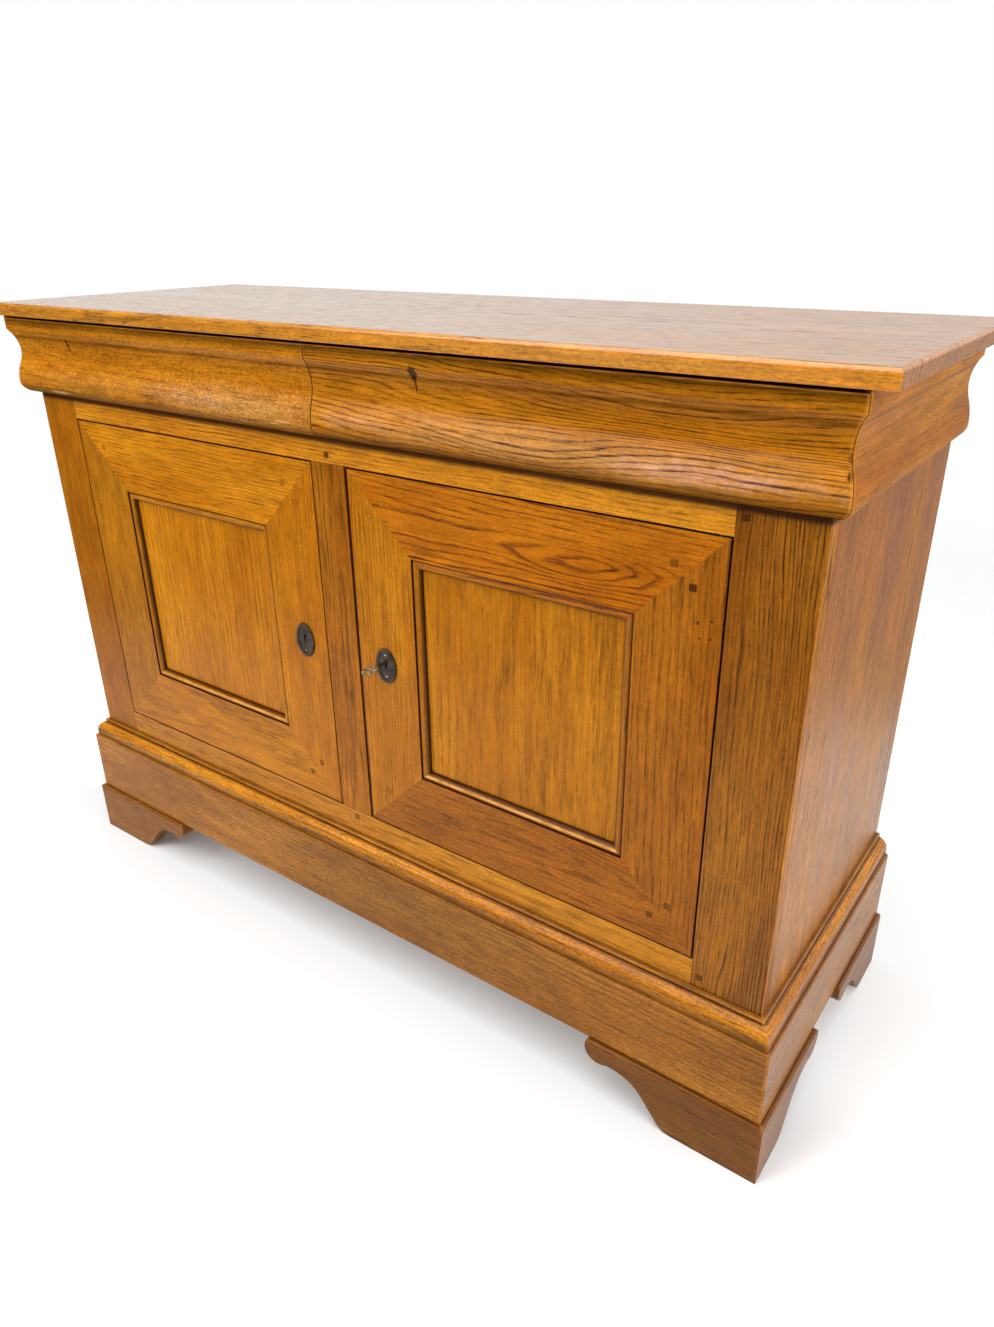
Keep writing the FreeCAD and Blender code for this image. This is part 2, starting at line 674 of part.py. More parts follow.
def build_drawer_carriage():
    runners = []
    kickers = []
    for label, side in SIDES.items():
        bearing = f"{label}_jamb - runner_bearing"
        low = (bearing, "frame_back", "runner_base")
        runners.append(block(label + "_runner", low, ("side_inner", "back_rail_front", "runner_top"), side))
        low = (f"{label}_jamb", "frame_back", "runner_top")
        high = ("side_inner", "back_rail_front", "runner_top + guide_height")
        runners.append(block(label + "_guide", low, high, side))
        low = (bearing, "frame_back", "head_base")
        kickers.append(block(label + "_kicker", low, ("side_inner", "back_rail_front", "top_base"), side))
    reach = "divider_thickness / 2 + runner_bearing"
    low = (f"-({reach})", "frame_back", "runner_base")
    runners.append(block("centre_runner", low, (reach, "back_rail_front", "runner_top")))
    low = (f"-({reach})", "frame_back", "head_base")
    kickers.append(block("centre_kicker", low, (reach, "back_rail_front", "top_base")))
    low = ("-divider_thickness / 2", "face_plane", "runner_top")
    high = ("divider_thickness / 2", "back_rail_front", "head_base")
    keep(group("drawer_runners", runners), group("drawer_kickers", kickers))
    keep(block("drawer_divider", low, high))


# Cornice returns, plinth and feet

def build_returns():
    for label, side in SIDES.items():
        name = label + "_cornice_return"
        start, end = "face_plane - cornice_projection", "back_plane - return_setback"
        profile = prism(name + "_profile", "XZ", outward(ogee("0", "top_base"), side), start, end)
        plan = corner_plan("cornice_projection", side)
        keep(common(name, [profile, prism(name + "_plan", "XY", plan, "front_base", "top_base")]))


def build_plinth_course(label, profile, projection, base, top):
    """One course of the plinth: a front length mitred at both ends and two side lengths."""
    name = f"front_plinth_{label}"
    reach = f"half_width + {projection}"
    plan = [
        ("-half_width", "face_plane"),
        ("half_width", "face_plane"),
        (reach, f"face_plane - {projection}"),
        (f"-({reach})", f"face_plane - {projection}"),
    ]
    length = prism(name + "_profile", "YZ", forward(profile), f"-({reach})", reach)
    keep(common(name, [length, prism(name + "_plan", "XY", plan, base, top)]))
    lengths = []
    for word, side in SIDES.items():
        name = f"{word}_plinth_{label}"
        start = f"face_plane - {projection}"
        length = prism(name + "_profile", "XZ", outward(profile, side), start, "back_plane")
        plan = prism(name + "_plan", "XY", corner_plan(projection, side), base, top)
        lengths.append(common(name, [length, plan]))
    keep(group(f"side_plinth_{label}s", lengths))


def build_plinth():
    moulding = plinth_moulding_profile()
    build_plinth_course("moulding", moulding, "moulding_projection", "moulding_base", "moulding_top")
    fascia = eased_board_profile("fascia_projection", "foot_height", "moulding_base", "fascia_round")
    build_plinth_course("fascia", fascia, "fascia_projection", "foot_height", "moulding_base")


def side_bracket(name, side, rear):
    """Bracket under a side panel, in line with its front or rear corner."""
    reach = "half_width + foot_projection"
    section = eased_board_profile("foot_projection", "0", "foot_height", "foot_round")
    front = "face_plane - foot_projection"
    length = prism(name + "_section", "XZ", outward(section, side), front, "back_plane")
    if rear:
        outline = remap(foot_outline("side_toe"), lambda u, v: (f"back_plane - ({u})", v), True)
    else:
        outline = remap(foot_outline("side_toe"), lambda u, v: (f"{front} + {u}", v), False)
    start, end = ("half_width", reach) if side > 0 else (f"-({reach})", "-half_width")
    shape = prism(name + "_outline", "YZ", outline, start, end)
    plan = prism(name + "_plan", "XY", corner_plan("foot_projection", side), "0", "foot_height")
    return common(name, [length, shape, plan])


def front_bracket(name, side):
    """Bracket under the front, mitred to the side bracket at its outer corner."""
    reach = "half_width + foot_projection"
    front = "face_plane - foot_projection"
    section = eased_board_profile("foot_projection", "0", "foot_height", "foot_round")
    length = prism(name + "_section", "YZ", forward(section), f"-({reach})", reach)
    outline = remap(foot_outline("front_toe"), lambda u, v: (f"{side} * ({reach} - ({u}))", v), side > 0)
    shape = prism(name + "_outline", "XZ", outline, front, "face_plane")
    corners = [("0", "face_plane"), ("half_width", "face_plane"), (reach, front), ("0", front)]
    plan = prism(name + "_plan", "XY", mirrored(corners, side), "0", "foot_height")
    return common(name, [length, shape, plan])


def build_feet():
    blocks = []
    rear_brackets = []
    for label, side in SIDES.items():
        keep(front_bracket(f"front_{label}_foot_front", side))
        keep(side_bracket(f"front_{label}_foot_side", side, rear=False))
        rear_brackets.append(side_bracket(f"rear_{label}_foot_bracket", side, rear=True))
        for word, start in (("front", "face_plane"), ("rear", "back_plane - foot_block_size")):
            low = ("half_width - foot_block_size", start, "0")
            high = ("half_width", f"{start} + foot_block_size", "foot_height")
            blocks.append(block(f"{word}_{label}_foot_block", low, high, side))
    keep(group("rear_foot_brackets", rear_brackets), group("foot_blocks", blocks))


# Drawers

def drawer_side(name, start, side):
    """Drawer side with a sliding dovetail on its front end; start is its face nearer the middle."""
    middle = f"{start} + drawer_side_thickness / 2"
    tip = "drawer_face_back - dovetail_depth"
    plan = [
        (start, "drawer_back_plane"),
        (start, "drawer_face_back"),
        (f"{middle} - dovetail_neck / 2", "drawer_face_back"),
        (f"{middle} - dovetail_tip / 2", tip),
        (f"{middle} + dovetail_tip / 2", tip),
        (f"{middle} + dovetail_neck / 2", "drawer_face_back"),
        (f"{start} + drawer_side_thickness", "drawer_face_back"),
        (f"{start} + drawer_side_thickness", "drawer_back_plane"),
    ]
    return prism(name, "XY", mirrored(plan, side), "runner_top", "drawer_top")


def build_drawer(label, side):
    name = label + "_drawer"
    outer = f"{label}_box"
    outer_inside = f"{outer} - drawer_side_thickness"
    inner_inside = "inner_box + drawer_side_thickness"
    sides = [
        drawer_side(f"{name}_inner_blank", "inner_box", side),
        drawer_side(f"{name}_outer_blank", outer_inside, side),
    ]
    low = (f"{inner_inside} - drawer_groove", "drawer_face_back - drawer_groove", "bottom_base")
    high = (f"{outer_inside} + drawer_groove", "drawer_back_plane", "bottom_top")
    bottom = block(name + "_bottom", low, high, side)
    low = (inner_inside, "drawer_back_plane - drawer_back_thickness", "bottom_top")
    high = (outer_inside, "drawer_back_plane", "drawer_top - drawer_back_drop")
    back = block(name + "_back", low, high, side)
    end = "half_width - drawer_mitre_gap"
    front = "face_plane - cornice_projection"
    plan = [
        ("drawer_seam / 2", "face_plane"),
        (end, "face_plane"),
        (f"{end} + cornice_projection", front),
        ("drawer_seam / 2", front),
    ]
    start, stop = ("drawer_seam / 2", f"{end} + cornice_projection")
    if side < 0:
        start, stop = (f"-({stop})", f"-({start})")
    profile = prism(name + "_profile", "YZ", forward(ogee("drawer_face_gap", "front_top")), start, stop)
    plan = prism(name + "_plan", "XY", mirrored(plan, side), "front_base", "front_top")
    blank = common(name + "_front_blank", [profile, plan])
    keep(cut(name + "_front", blank, [*sides, bottom]))
    grooved = []
    for word, board in zip(("inner", "outer"), sides):
        grooved.append(cut(f"{name}_{word}_side", board, [bottom]))
    keep(group(name + "_sides", grooved), back, bottom)


# Doors

def member_profile():
    """Frame member across the grain: face, quirk, bead, panel groove and back, from its outer edge."""
    return [
        ("0", "0"),
        ("face_width", "0"),
        ("face_width", "bead_start", "bead_radius", 1),
        ("member_width", "panel_recess"),
        ("groove_floor", "panel_recess"),
        ("groove_floor", "panel_back"),
        ("member_width", "panel_back"),
        ("member_width", "door_thickness"),
        ("0", "door_thickness"),
    ]


def frame_members(label, side):
    """Four mitred blanks of a door frame by name."""
    outer, inner = f"{label}_outer", f"{label}_inner"
    sight_outer, sight_inner = f"{outer} - member_width", f"{inner} + member_width"
    sight_base, sight_top = "door_base + member_width", "door_top - member_width"
    profile = member_profile()
    corners = {
        "hinge_stile": [(outer, "door_base"), (outer, "door_top"),
                        (sight_outer, sight_top), (sight_outer, sight_base)],
        "lock_stile": [(inner, "door_base"), (inner, "door_top"),
                       (sight_inner, sight_top), (sight_inner, sight_base)],
        "top_rail": [(inner, "door_top"), (outer, "door_top"),
                     (sight_outer, sight_top), (sight_inner, sight_top)],
        "bottom_rail": [(inner, "door_base"), (outer, "door_base"),
                        (sight_outer, sight_base), (sight_inner, sight_base)],
    }
    stile_edges = {
        "hinge_stile": (lambda u, v: (f"{side} * ({outer} - ({u}))", f"face_plane + {v}"), side > 0),
        "lock_stile": (lambda u, v: (f"{side} * ({inner} + {u})", f"face_plane + {v}"), side < 0),
    }
    rail_edges = {
        "top_rail": (lambda u, v: (f"face_plane + {v}", f"door_top - ({u})"), False),
        "bottom_rail": (lambda u, v: (f"face_plane + {v}", f"door_base + {u}"), True),
    }
    start, end = (inner, outer) if side > 0 else (f"-({outer})", f"-({inner})")
    blanks = {}
    for member, outline in corners.items():
        name = f"{label}_door_{member}"
        mitred = prism(name + "_mitres", "XZ", mirrored(outline, side), "face_plane", "door_back")
        if member in stile_edges:
            section = remap(profile, *stile_edges[member])
            length = prism(name + "_section", "XY", section, "door_base", "door_top")
        else:
            section = remap(profile, *rail_edges[member])
            length = prism(name + "_section", "YZ", section, start, end)
        blanks[member] = common(name + "_blank", [length, mitred])
    return blanks


def door_pegs(label, side):
    outer, inner = f"{label}_outer", f"{label}_inner"
    pegs = []
    for near, far in (("door_peg_near", "door_peg_far"), ("door_peg_far", "door_peg_near")):
        for x in (f"{outer} - {near}", f"{inner} + {near}"):
            for z in (f"door_base + {far}", f"door_top - {far}"):
                name = f"{label}_door_peg_{len(pegs) + 1}"
                pegs.append(square_peg(name, x, z, "door_thickness", side))
    return pegs


def pivot_plate(name, label, side, base):
    """Flat pivot plate that starts at the door's hinge edge."""
    outer = f"{label}_outer"
    half = "pivot_plate_width / 2"
    low = (f"{outer} - pivot_plate_length", f"pivot_plane - {half}", base)
    high = (outer, f"pivot_plane + {half}", f"{base} + pivot_plate_thickness")
    return block(name, low, high, side)


def frame_pivots(label, side):
    """Upper and lower pivots let into the rails: plate and pin, with a collar under the door."""
    axis = (f"{side} * ({label}_outer - pivot_inset)", "pivot_plane")
    reach = "door_gap + pivot_pin_reach"
    plate = pivot_plate(label + "_upper_plate", label, side, "lintel")
    pin = rod(label + "_upper_pin", (*axis, f"lintel - ({reach})"), reach, "pivot_pin_radius")
    upper = fuse(label + "_upper_pivot", [plate, pin])
    plate = pivot_plate(label + "_lower_plate", label, side, "sill - pivot_plate_thickness")
    pin = rod(label + "_lower_pin", (*axis, "sill"), reach, "pivot_pin_radius")
    collar = rod(label + "_lower_collar", (*axis, "sill"), "door_gap", "pivot_collar_radius")
    lower = fuse(label + "_lower_pivot", [plate, pin, collar])
    return [upper, lower]


def door_pivots(label, side):
    """Bored plates in the door's upper and lower edges, and the cutters for them and the pins."""
    axis = (f"{side} * ({label}_outer - pivot_inset)", "pivot_plane")
    plates = []
    cutters = []
    depth = "pivot_pin_reach + pivot_relief"
    levels = {
        "upper": ("door_top - pivot_plate_thickness", f"door_top - ({depth})"),
        "lower": ("door_base", "door_base"),
    }
    for word, (plate_base, hole_base) in levels.items():
        name = f"{label}_door_{word}_pivot"
        blank = pivot_plate(name + "_blank", label, side, plate_base)
        bore_radius = "pivot_pin_radius + pivot_clearance"
        bore = rod(name + "_bore", (*axis, plate_base), "pivot_plate_thickness", bore_radius)
        plates.append(cut(name, blank, [bore]))
        hole = rod(name + "_hole", (*axis, hole_base), depth, "pivot_pin_radius + pivot_relief")
        cutters += [blank, hole]
    return plates, cutters


def keyhole(name, label, side, start, end):
    """Keyhole cutter between two planes: a round for the shank and a slot below it for the bit."""
    axis = f"{label}_key"
    width = "bit_thickness / 2 + key_clearance"
    shank = rod(name + "_round", (f"{side} * ({axis})", start, "key_level"), f"({end}) - ({start})",
                "key_shank_radius + key_clearance", along="y")
    low = (f"{axis} - ({width})", start, "key_level - bit_sweep")
    slot = block(name + "_slot", low, (f"{axis} + {width}", end, "key_level"), side)
    return fuse(name, [shank, slot])


def lock_blank(label, side):
    """Outside of the lock case, let into the door's back from its edge."""
    inner = f"{label}_inner"
    half = "lock_height / 2"
    low = (inner, "lock_front", f"door_middle - {half}")
    high = (f"{inner} + lock_length", "door_back", f"door_middle + {half}")
    return block(label + "_lock_blank", low, high, side)


def build_lock(label, side, case):
    """Lock case with a bolt channel and a key chamber, the bolt drawn in, and the oval plate outside."""
    inner = f"{label}_inner"
    half = "bolt_thickness / 2"
    low = (inner, f"lock_middle - {half} - bolt_clearance", "bolt_base")
    high = (f"{inner} + bolt_rest + bolt_length + bolt_clearance", f"lock_middle + {half} + bolt_clearance",
            "bolt_top + bolt_clearance")
    channel = block(label + "_bolt_channel", low, high, side)
    chamber_front = "lock_front + lock_wall"
    chamber_depth = "lock_depth - 2 * lock_wall"
    axis = (f"{side} * ({label}_key)", chamber_front, "key_level")
    chamber = rod(label + "_key_chamber", axis, chamber_depth, "bit_sweep", along="y")
    entry = keyhole(label + "_lock_entry", label, side, "lock_front", chamber_front)
    keep(cut(label + "_lock_case", case, [channel, chamber, entry]))
    low = (f"{inner} + bolt_rest", f"lock_middle - {half}", "bolt_base")
    high = (f"{inner} + bolt_rest + bolt_length", f"lock_middle + {half}", "bolt_top")
    keep(block(label + "_lock_bolt", low, high, side))
    build_escutcheon(label, side)


def build_escutcheon(label, side):
    front = "face_plane - escutcheon_thickness"

    def plate(name, shrink, start, end):
        sizes = ("escutcheon_half_height", "escutcheon_half_width", "escutcheon_end_radius")
        outline = oval(*(f"({size} - {shrink})" for size in sizes))
        place = remap(outline, lambda u, v: (f"{side} * ({label}_key) + {u}", f"door_middle + {v}"), False)
        return prism(name, "XZ", place, start, end)

    rim = plate(label + "_escutcheon_blank", "0", front, "face_plane")
    dish = plate(label + "_escutcheon_dish", "escutcheon_rim", front, f"{front} + escutcheon_dish")
    hole = keyhole(label + "_escutcheon_hole", label, side, front, "face_plane")
    keep(cut(label + "_escutcheon", rim, [dish, hole]))


def build_door(label, side):
    blanks = frame_members(label, side)
    pegs = door_pegs(label, side)
    plates, pivot_cutters = door_pivots(label, side)
    case = lock_blank(label, side)
    hole = keyhole(label + "_stile_keyhole", label, side, "face_plane", "lock_front")
    for member, blank in blanks.items():
        cutters = [*pegs]
        if member == "lock_stile":
            cutters += [case, hole]
        else:
            cutters += pivot_cutters
        keep(cut(f"{label}_door_{member}", blank, cutters))
    edge = "groove_floor + panel_play"
    low = (f"{label}_inner + {edge}", "face_plane + panel_recess", f"door_base + {edge}")
    high = (f"{label}_outer - ({edge})", "face_plane + panel_back", f"door_top - ({edge})")
    keep(block(label + "_door_panel", low, high, side))
    keep(group(label + "_door_pegs", pegs), group(label + "_door_pivots", plates))
    build_lock(label, side, case)


# Key

def build_key():
    """Key in the right lock: flat pierced bow, collar, shank, and a bit that lies level."""
    tip = "door_back - lock_wall - key_clearance"
    place = remap(oval("bow_half_length", "bow_half_width", "bow_end_radius"),
                  lambda u, v: (f"right_key + {u}", f"bow_middle + {v}"), False)
    half = "bow_thickness / 2"
    plate = prism("key_bow_plate", "XY", place, f"key_level - {half}", f"key_level + {half}")
    holes = []
    for word, sign in (("left", "-"), ("right", "+")):
        start = (f"right_key {sign} bow_hole_offset", "bow_middle", f"key_level - {half}")
        holes.append(rod(f"key_bow_{word}_hole", start, "bow_thickness", "bow_hole_radius"))
    bow = cut("key_bow", plate, holes)
    start = ("right_key", "bow_root", "key_level")
    shank = rod("key_shank", start, f"{tip} - (bow_root)", "key_shank_radius", along="y")
    collar = rod("key_collar", start, "key_collar_length", "key_collar_radius", along="y")
    half = "bit_thickness / 2"
    bit = block("key_bit", ("right_key", f"{tip} - bit_length", f"key_level - {half}"),
                ("right_key + bit_reach", tip, f"key_level + {half}"))
    keep(fuse("right_key", [bow, shank, collar, bit]))


# The whole buffet

def build():
    fill_sheet()
    build_top()
    pivots = []
    for label, side in SIDES.items():
        pivots += frame_pivots(label, side)
    build_frame(pivots)
    build_inside()
    build_drawer_carriage()
    build_returns()
    build_plinth()
    build_feet()
    for label, side in SIDES.items():
        build_drawer(label, side)
        build_door(label, side)
    build_key()
    doc.recompute()


def check():
    """Stop before writing if any object failed or any sub-part is missing or broken."""
    for thing in doc.Objects:
        faults = {"Invalid", "Error"} & set(thing.State)
        if faults:
            raise RuntimeError(f"{thing.Label}: {sorted(faults)}")
    for piece in nodes:
        if piece.Shape.isNull() or not piece.Shape.isValid() or not piece.Shape.Solids:
            raise RuntimeError(f"{piece.Label}: no valid solid")


def write():
    os.makedirs("parts", exist_ok=True)
    for piece in nodes:
        piece.Shape.exportStep(os.path.join("parts", piece.Label + ".step"))
    print(len(nodes), "sub-parts written")


build()
check()
write()
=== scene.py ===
import math

import bpy
from mathutils import Matrix, Vector


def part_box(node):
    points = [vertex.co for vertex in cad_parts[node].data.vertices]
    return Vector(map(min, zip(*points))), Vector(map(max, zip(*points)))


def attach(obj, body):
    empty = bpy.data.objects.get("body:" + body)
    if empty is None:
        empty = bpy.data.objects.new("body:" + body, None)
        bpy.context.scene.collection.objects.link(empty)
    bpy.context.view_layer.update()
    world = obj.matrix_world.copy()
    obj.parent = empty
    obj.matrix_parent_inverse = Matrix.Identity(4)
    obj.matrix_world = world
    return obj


bl_info = {
    "name": "Oak buffet",
    "version": (1, 0, 0),
    "blender": (4, 5, 0),
    "location": "View3D > Sidebar > Buffet",
    "description": "Dresses the buffet in waxed oak, bronze and brass, and sets up its studio view",
    "category": "Object",
}

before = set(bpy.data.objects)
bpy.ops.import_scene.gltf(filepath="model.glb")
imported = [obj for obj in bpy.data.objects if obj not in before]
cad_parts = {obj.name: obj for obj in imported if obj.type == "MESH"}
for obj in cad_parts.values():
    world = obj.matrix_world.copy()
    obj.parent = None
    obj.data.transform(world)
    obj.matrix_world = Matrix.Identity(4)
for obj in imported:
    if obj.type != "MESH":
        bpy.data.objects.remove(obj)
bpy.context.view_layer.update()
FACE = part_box("left_front_post")[0].y
SIDES = ("left", "right")
X, Y, Z = range(3)

# Paints laid over the wood and metal

INK = (0.05, 0.012, 0.002)
DEEP_INK = (0.02, 0.006, 0.001)
# Pale paint of scuff marks and of one painted glint
SCUFF_AND_GLINT = (0.62, 0.36, 0.15)
PORE_DIRT = (0.012, 0.004, 0.001)
RIM_DIRT = (0.10, 0.032, 0.006)
# Painted shade in corners and narrow gaps
CREVICE_SHADE = (0.05, 0.008, 0.003)
# Painted shadow of a door's gap
SEAM_SHADE = (0.055, 0.006, 0.004)
# Painted shade under an overhang
LID_SHADE = (0.045, 0.011, 0.002)
# Painted shade in a bead's recess and painted highlight on its crown
BEAD_SHADE = (0.055, 0.014, 0.002)
BEAD_HIGHLIGHT = (0.82, 0.42, 0.11)
# Painted shade on the key's shank
KEY_SHADE = (0.03, 0.02, 0.012)
WHITE = (1.0, 1.0, 1.0)

# Shader node helpers


def rgba(colour):
    return (*colour, 1.0)


class Graph:
    """Short ways to add and join nodes in one shader tree."""

    def __init__(self, tree):
        self.tree = tree

    def add(self, kind, **settings):
        node = self.tree.nodes.new(kind)
        for name, setting in settings.items():
            setattr(node, name, setting)
        return node

    def feed(self, socket, source):
        """Join a socket, or give it a plain value."""
        if isinstance(source, bpy.types.NodeSocket):
            self.tree.links.new(source, socket)
        else:
            socket.default_value = source

    def math(self, operation, *sources):
        node = self.add("ShaderNodeMath", operation=operation)
        for socket, source in zip(node.inputs, sources):
            self.feed(socket, source)
        return node.outputs[0]

    def plus(self, first, second):
        return self.math("ADD", first, second)

    def minus(self, first, second):
        return self.math("SUBTRACT", first, second)

    def times(self, first, second):
        return self.math("MULTIPLY", first, second)

    def swing(self, noise, amount, middle):
        """Noise spread by an amount on both sides of a middle value."""
        return self.math("MULTIPLY_ADD", self.minus(noise, 0.5), amount, middle)

    def vector(self, operation, *sources):
        node = self.add("ShaderNodeVectorMath", operation=operation)
        for socket, source in zip(node.inputs, sources):
            self.feed(socket, source)
        return node.outputs["Value" if operation == "LENGTH" else "Vector"]

    def remap(self, source, low, high, to_low=0.0, to_high=1.0, smooth=True):
        kind = "SMOOTHSTEP" if smooth else "LINEAR"
        node = self.add("ShaderNodeMapRange", interpolation_type=kind)
        for socket, value in zip(node.inputs, (source, low, high, to_low, to_high)):
            self.feed(socket, value)
        return node.outputs[0]

    def noise(self, vector, detail, roughness=0.5):
        node = self.add("ShaderNodeTexNoise")
        self.feed(node.inputs["Vector"], vector)
        for name, value in (("Scale", 1.0), ("Detail", detail), ("Roughness", roughness)):
            self.feed(node.inputs[name], value)
        return node.outputs[0]

    def speckle(self, vector, density, detail, roughness=0.5):
        """Noise with as many spots per metre each way."""
        return self.noise(self.vector("MULTIPLY", vector, (density,) * 3), detail, roughness)

    def mix(self, factor, first, second, blend="MIX"):
        node = self.add("ShaderNodeMix", data_type="RGBA", blend_type=blend)
        for index, source in ((0, factor), (6, first), (7, second)):
            self.feed(node.inputs[index], source)
        return node.outputs[2]

    def combine(self, *sources):
        node = self.add("ShaderNodeCombineXYZ")
        for socket, source in zip(node.inputs, sources):
            self.feed(socket, source)
        return node.outputs[0]

    def separate(self, vector):
        node = self.add("ShaderNodeSeparateXYZ")
        self.feed(node.inputs[0], vector)
        return node.outputs

    def place(self):
        """Point on the piece in the row frame, in metres."""
        return self.add("ShaderNodeTexCoord").outputs["Object"]

    def axes(self):
        """The point's X, Y and Z, each on its own."""
        return self.separate(self.place())

    def stretch(self, vector, scale, seed):
        """Vector scaled on each axis and moved to its own part of a pattern."""
        moved = self.vector("MULTIPLY", vector, scale)
        return self.vector("ADD", moved, self.combine(seed, seed, seed))

    def group(self, tree, **sources):
        node = self.add("ShaderNodeGroup", node_tree=tree)
        for name, source in sources.items():
            self.feed(node.inputs[name.replace("_", " ").title()], source)
        return node.outputs


def new_group(name, inputs, outputs):
    """Shader node group with its sockets; returns its graph, inputs and output node."""
    tree = bpy.data.node_groups.new(name, "ShaderNodeTree")
    kinds = {"float": "NodeSocketFloat", "vector": "NodeSocketVector", "colour": "NodeSocketColor"}
    for direction, sockets in (("INPUT", inputs), ("OUTPUT", outputs)):
        for label, kind in sockets.items():
            tree.interface.new_socket(name=label, in_out=direction, socket_type=kinds[kind])
    graph = Graph(tree)
    return graph, graph.add("NodeGroupInput").outputs, graph.add("NodeGroupOutput").inputs


# Noise in the oak: spots per metre along and across the grain, shift of the seed, detail, roughness

PATTERNS = {
    "slow": (1.7, 9.0, 0.0, 2.0, 0.5),
    "quick": (11.0, 70.0, 0.0, 2.0, 0.5),
    "ripple": (4.0, 26.0, 7.0, 2.0, 0.5),
    "presence": (2.2, 16.0, 13.0, 2.0, 0.5),
    "dash": (32.0, 720.0, 0.0, 2.0, 0.65),
    "fibre": (7.0, 330.0, 0.0, 4.0, 0.65),
    "cloud": (2.6, 12.0, 0.0, 3.0, 0.5),
    "patch": (4.5, 8.0, 31.0, 3.0, 0.5),
    "fleck": (130.0, 120.0, 0.0, 2.0, 0.5),
    "mottle": (20.0, 55.0, 3.0, 3.0, 0.6),
    "grit": (210.0, 420.0, 0.0, 2.0, 0.7),
}
EYE_FALL = (10.0, 45.0, 0.0)
RIPPLE_RINGS = 2.5


def oak_group():
    """Oak in board coordinates, X along the grain and Y across: rings, pores, fibres and stain."""
    sockets = {
        "Board": "vector", "Seed": "float", "Ring Width": "float", "Ring Depth": "float",
        "Heart": "float", "Heart Offset": "float", "Lean": "float", "Waver": "float",
        "Pores": "float", "Flecks": "float", "Stain": "float", "Grit": "float", "Mottle": "float",
        "Light": "colour", "Middle": "colour", "Dark": "colour",
        "Eye": "vector", "Eye Rise": "float", "Flat": "float",
    }
    outputs = {"Color": "colour", "Roughness": "float", "Height": "float", "Open": "float"}
    graph, given, result = new_group("oak_figure", sockets, outputs)
    board, seed, ring_width = given["Board"], given["Seed"], given["Ring Width"]
    light, middle, dark = given["Light"], given["Middle"], given["Dark"]
    pattern = {}
    for name, (lengthwise, crosswise, shift, detail, roughness) in PATTERNS.items():
        place = graph.stretch(board, (lengthwise, crosswise, crosswise), graph.plus(seed, shift))
        pattern[name] = graph.noise(place, detail, roughness)

    # Distance from the heart of the tree, wavering, with an eye and small ripples
    along, across, through = graph.separate(board)
    waver = graph.times(graph.minus(pattern["slow"], 0.5), given["Waver"])
    offset = graph.plus(graph.minus(across, given["Heart Offset"]), waver)
    depth = graph.plus(given["Heart"], graph.math("ABSOLUTE", graph.minus(through, given["Flat"])))
    radius = graph.vector("LENGTH", graph.combine(offset, depth, 0.0))
    radius = graph.plus(radius, graph.times(along, given["Lean"]))
    eye_way = graph.vector("MULTIPLY", graph.vector("SUBTRACT", board, given["Eye"]), EYE_FALL)
    eye_span = graph.math("POWER", graph.vector("LENGTH", eye_way), 2.0)
    swell = graph.math("EXPONENT", graph.times(eye_span, -1.0))
    radius = graph.plus(radius, graph.times(swell, given["Eye Rise"]))
    shake = graph.times(graph.minus(pattern["quick"], 0.5), ring_width)
    shake = graph.swing(pattern["ripple"], graph.times(ring_width, RIPPLE_RINGS), shake)
    turns = graph.math("DIVIDE", graph.plus(radius, shake), ring_width)

    # Early wood, dark and porous, stronger in some rings and places than in others
    phase = graph.math("FRACT", turns)
    early = graph.times(graph.remap(phase, 0.0, 0.1), graph.remap(phase, 0.12, 0.5, 1.0, 0.0))
    ring_noise = graph.add("ShaderNodeTexWhiteNoise", noise_dimensions="1D")
    graph.feed(ring_noise.inputs["W"], graph.plus(graph.math("FLOOR", turns), seed))
    ring_force = graph.remap(ring_noise.outputs[0], 0.0, 1.0, 0.25, 1.0, smooth=False)
    ring_force = graph.times(ring_force, graph.remap(pattern["presence"], 0.36, 0.62, 0.3, 1.0))
    dashes = graph.remap(pattern["dash"], 0.45, 0.63)
    line = graph.times(graph.times(early, ring_force), given["Ring Depth"])
    band = graph.times(line, graph.remap(dashes, 0.0, 1.0, 0.6, 1.0, smooth=False))
    pore_place = graph.remap(early, 0.0, 0.6, 0.35, 1.0)
    pores = graph.times(dashes, graph.times(pore_place, given["Pores"]))

    # Colour
    fibre = pattern["fibre"]
    cloud = graph.remap(pattern["cloud"], 0.3, 0.7)
    patch = graph.remap(pattern["patch"], 0.46, 0.74)
    fleck = graph.remap(pattern["fleck"], 0.54, 0.68)
    colour = graph.mix(cloud, middle, light)
    streak = graph.mix(0.45, middle, dark)
    colour = graph.mix(graph.remap(fibre, 0.4, 0.68, 0.0, 0.6), colour, streak)
    colour = graph.mix(graph.times(fleck, given["Flecks"]), colour, light)
    colour = graph.mix(band, colour, dark)
    colour = graph.mix(graph.times(patch, given["Stain"]), colour, dark)
    colour = graph.mix(pores, colour, graph.mix(0.5, dark, rgba(PORE_DIRT)))
    grain = graph.swing(pattern["grit"], given["Grit"], 1.0)
    grain = graph.swing(pattern["mottle"], given["Mottle"], grain)
    colour = graph.mix(1.0, colour, graph.combine(grain, grain, grain), blend="MULTIPLY")
    graph.feed(result["Color"], colour)

    # Sheen and relief
    rough = graph.plus(graph.remap(cloud, 0.0, 1.0, 0.26, 0.34), graph.times(pores, 0.2))
    graph.feed(result["Roughness"], rough)
    height = graph.minus(graph.times(fibre, 0.35), graph.times(pores, 0.7))
    graph.feed(result["Height"], graph.minus(height, graph.times(band, 0.3)))
    open_grain = graph.math("MAXIMUM", pores, graph.remap(fibre, 0.5, 0.75, 0.0, 0.4))
    graph.feed(result["Open"], open_grain)
    return graph.tree


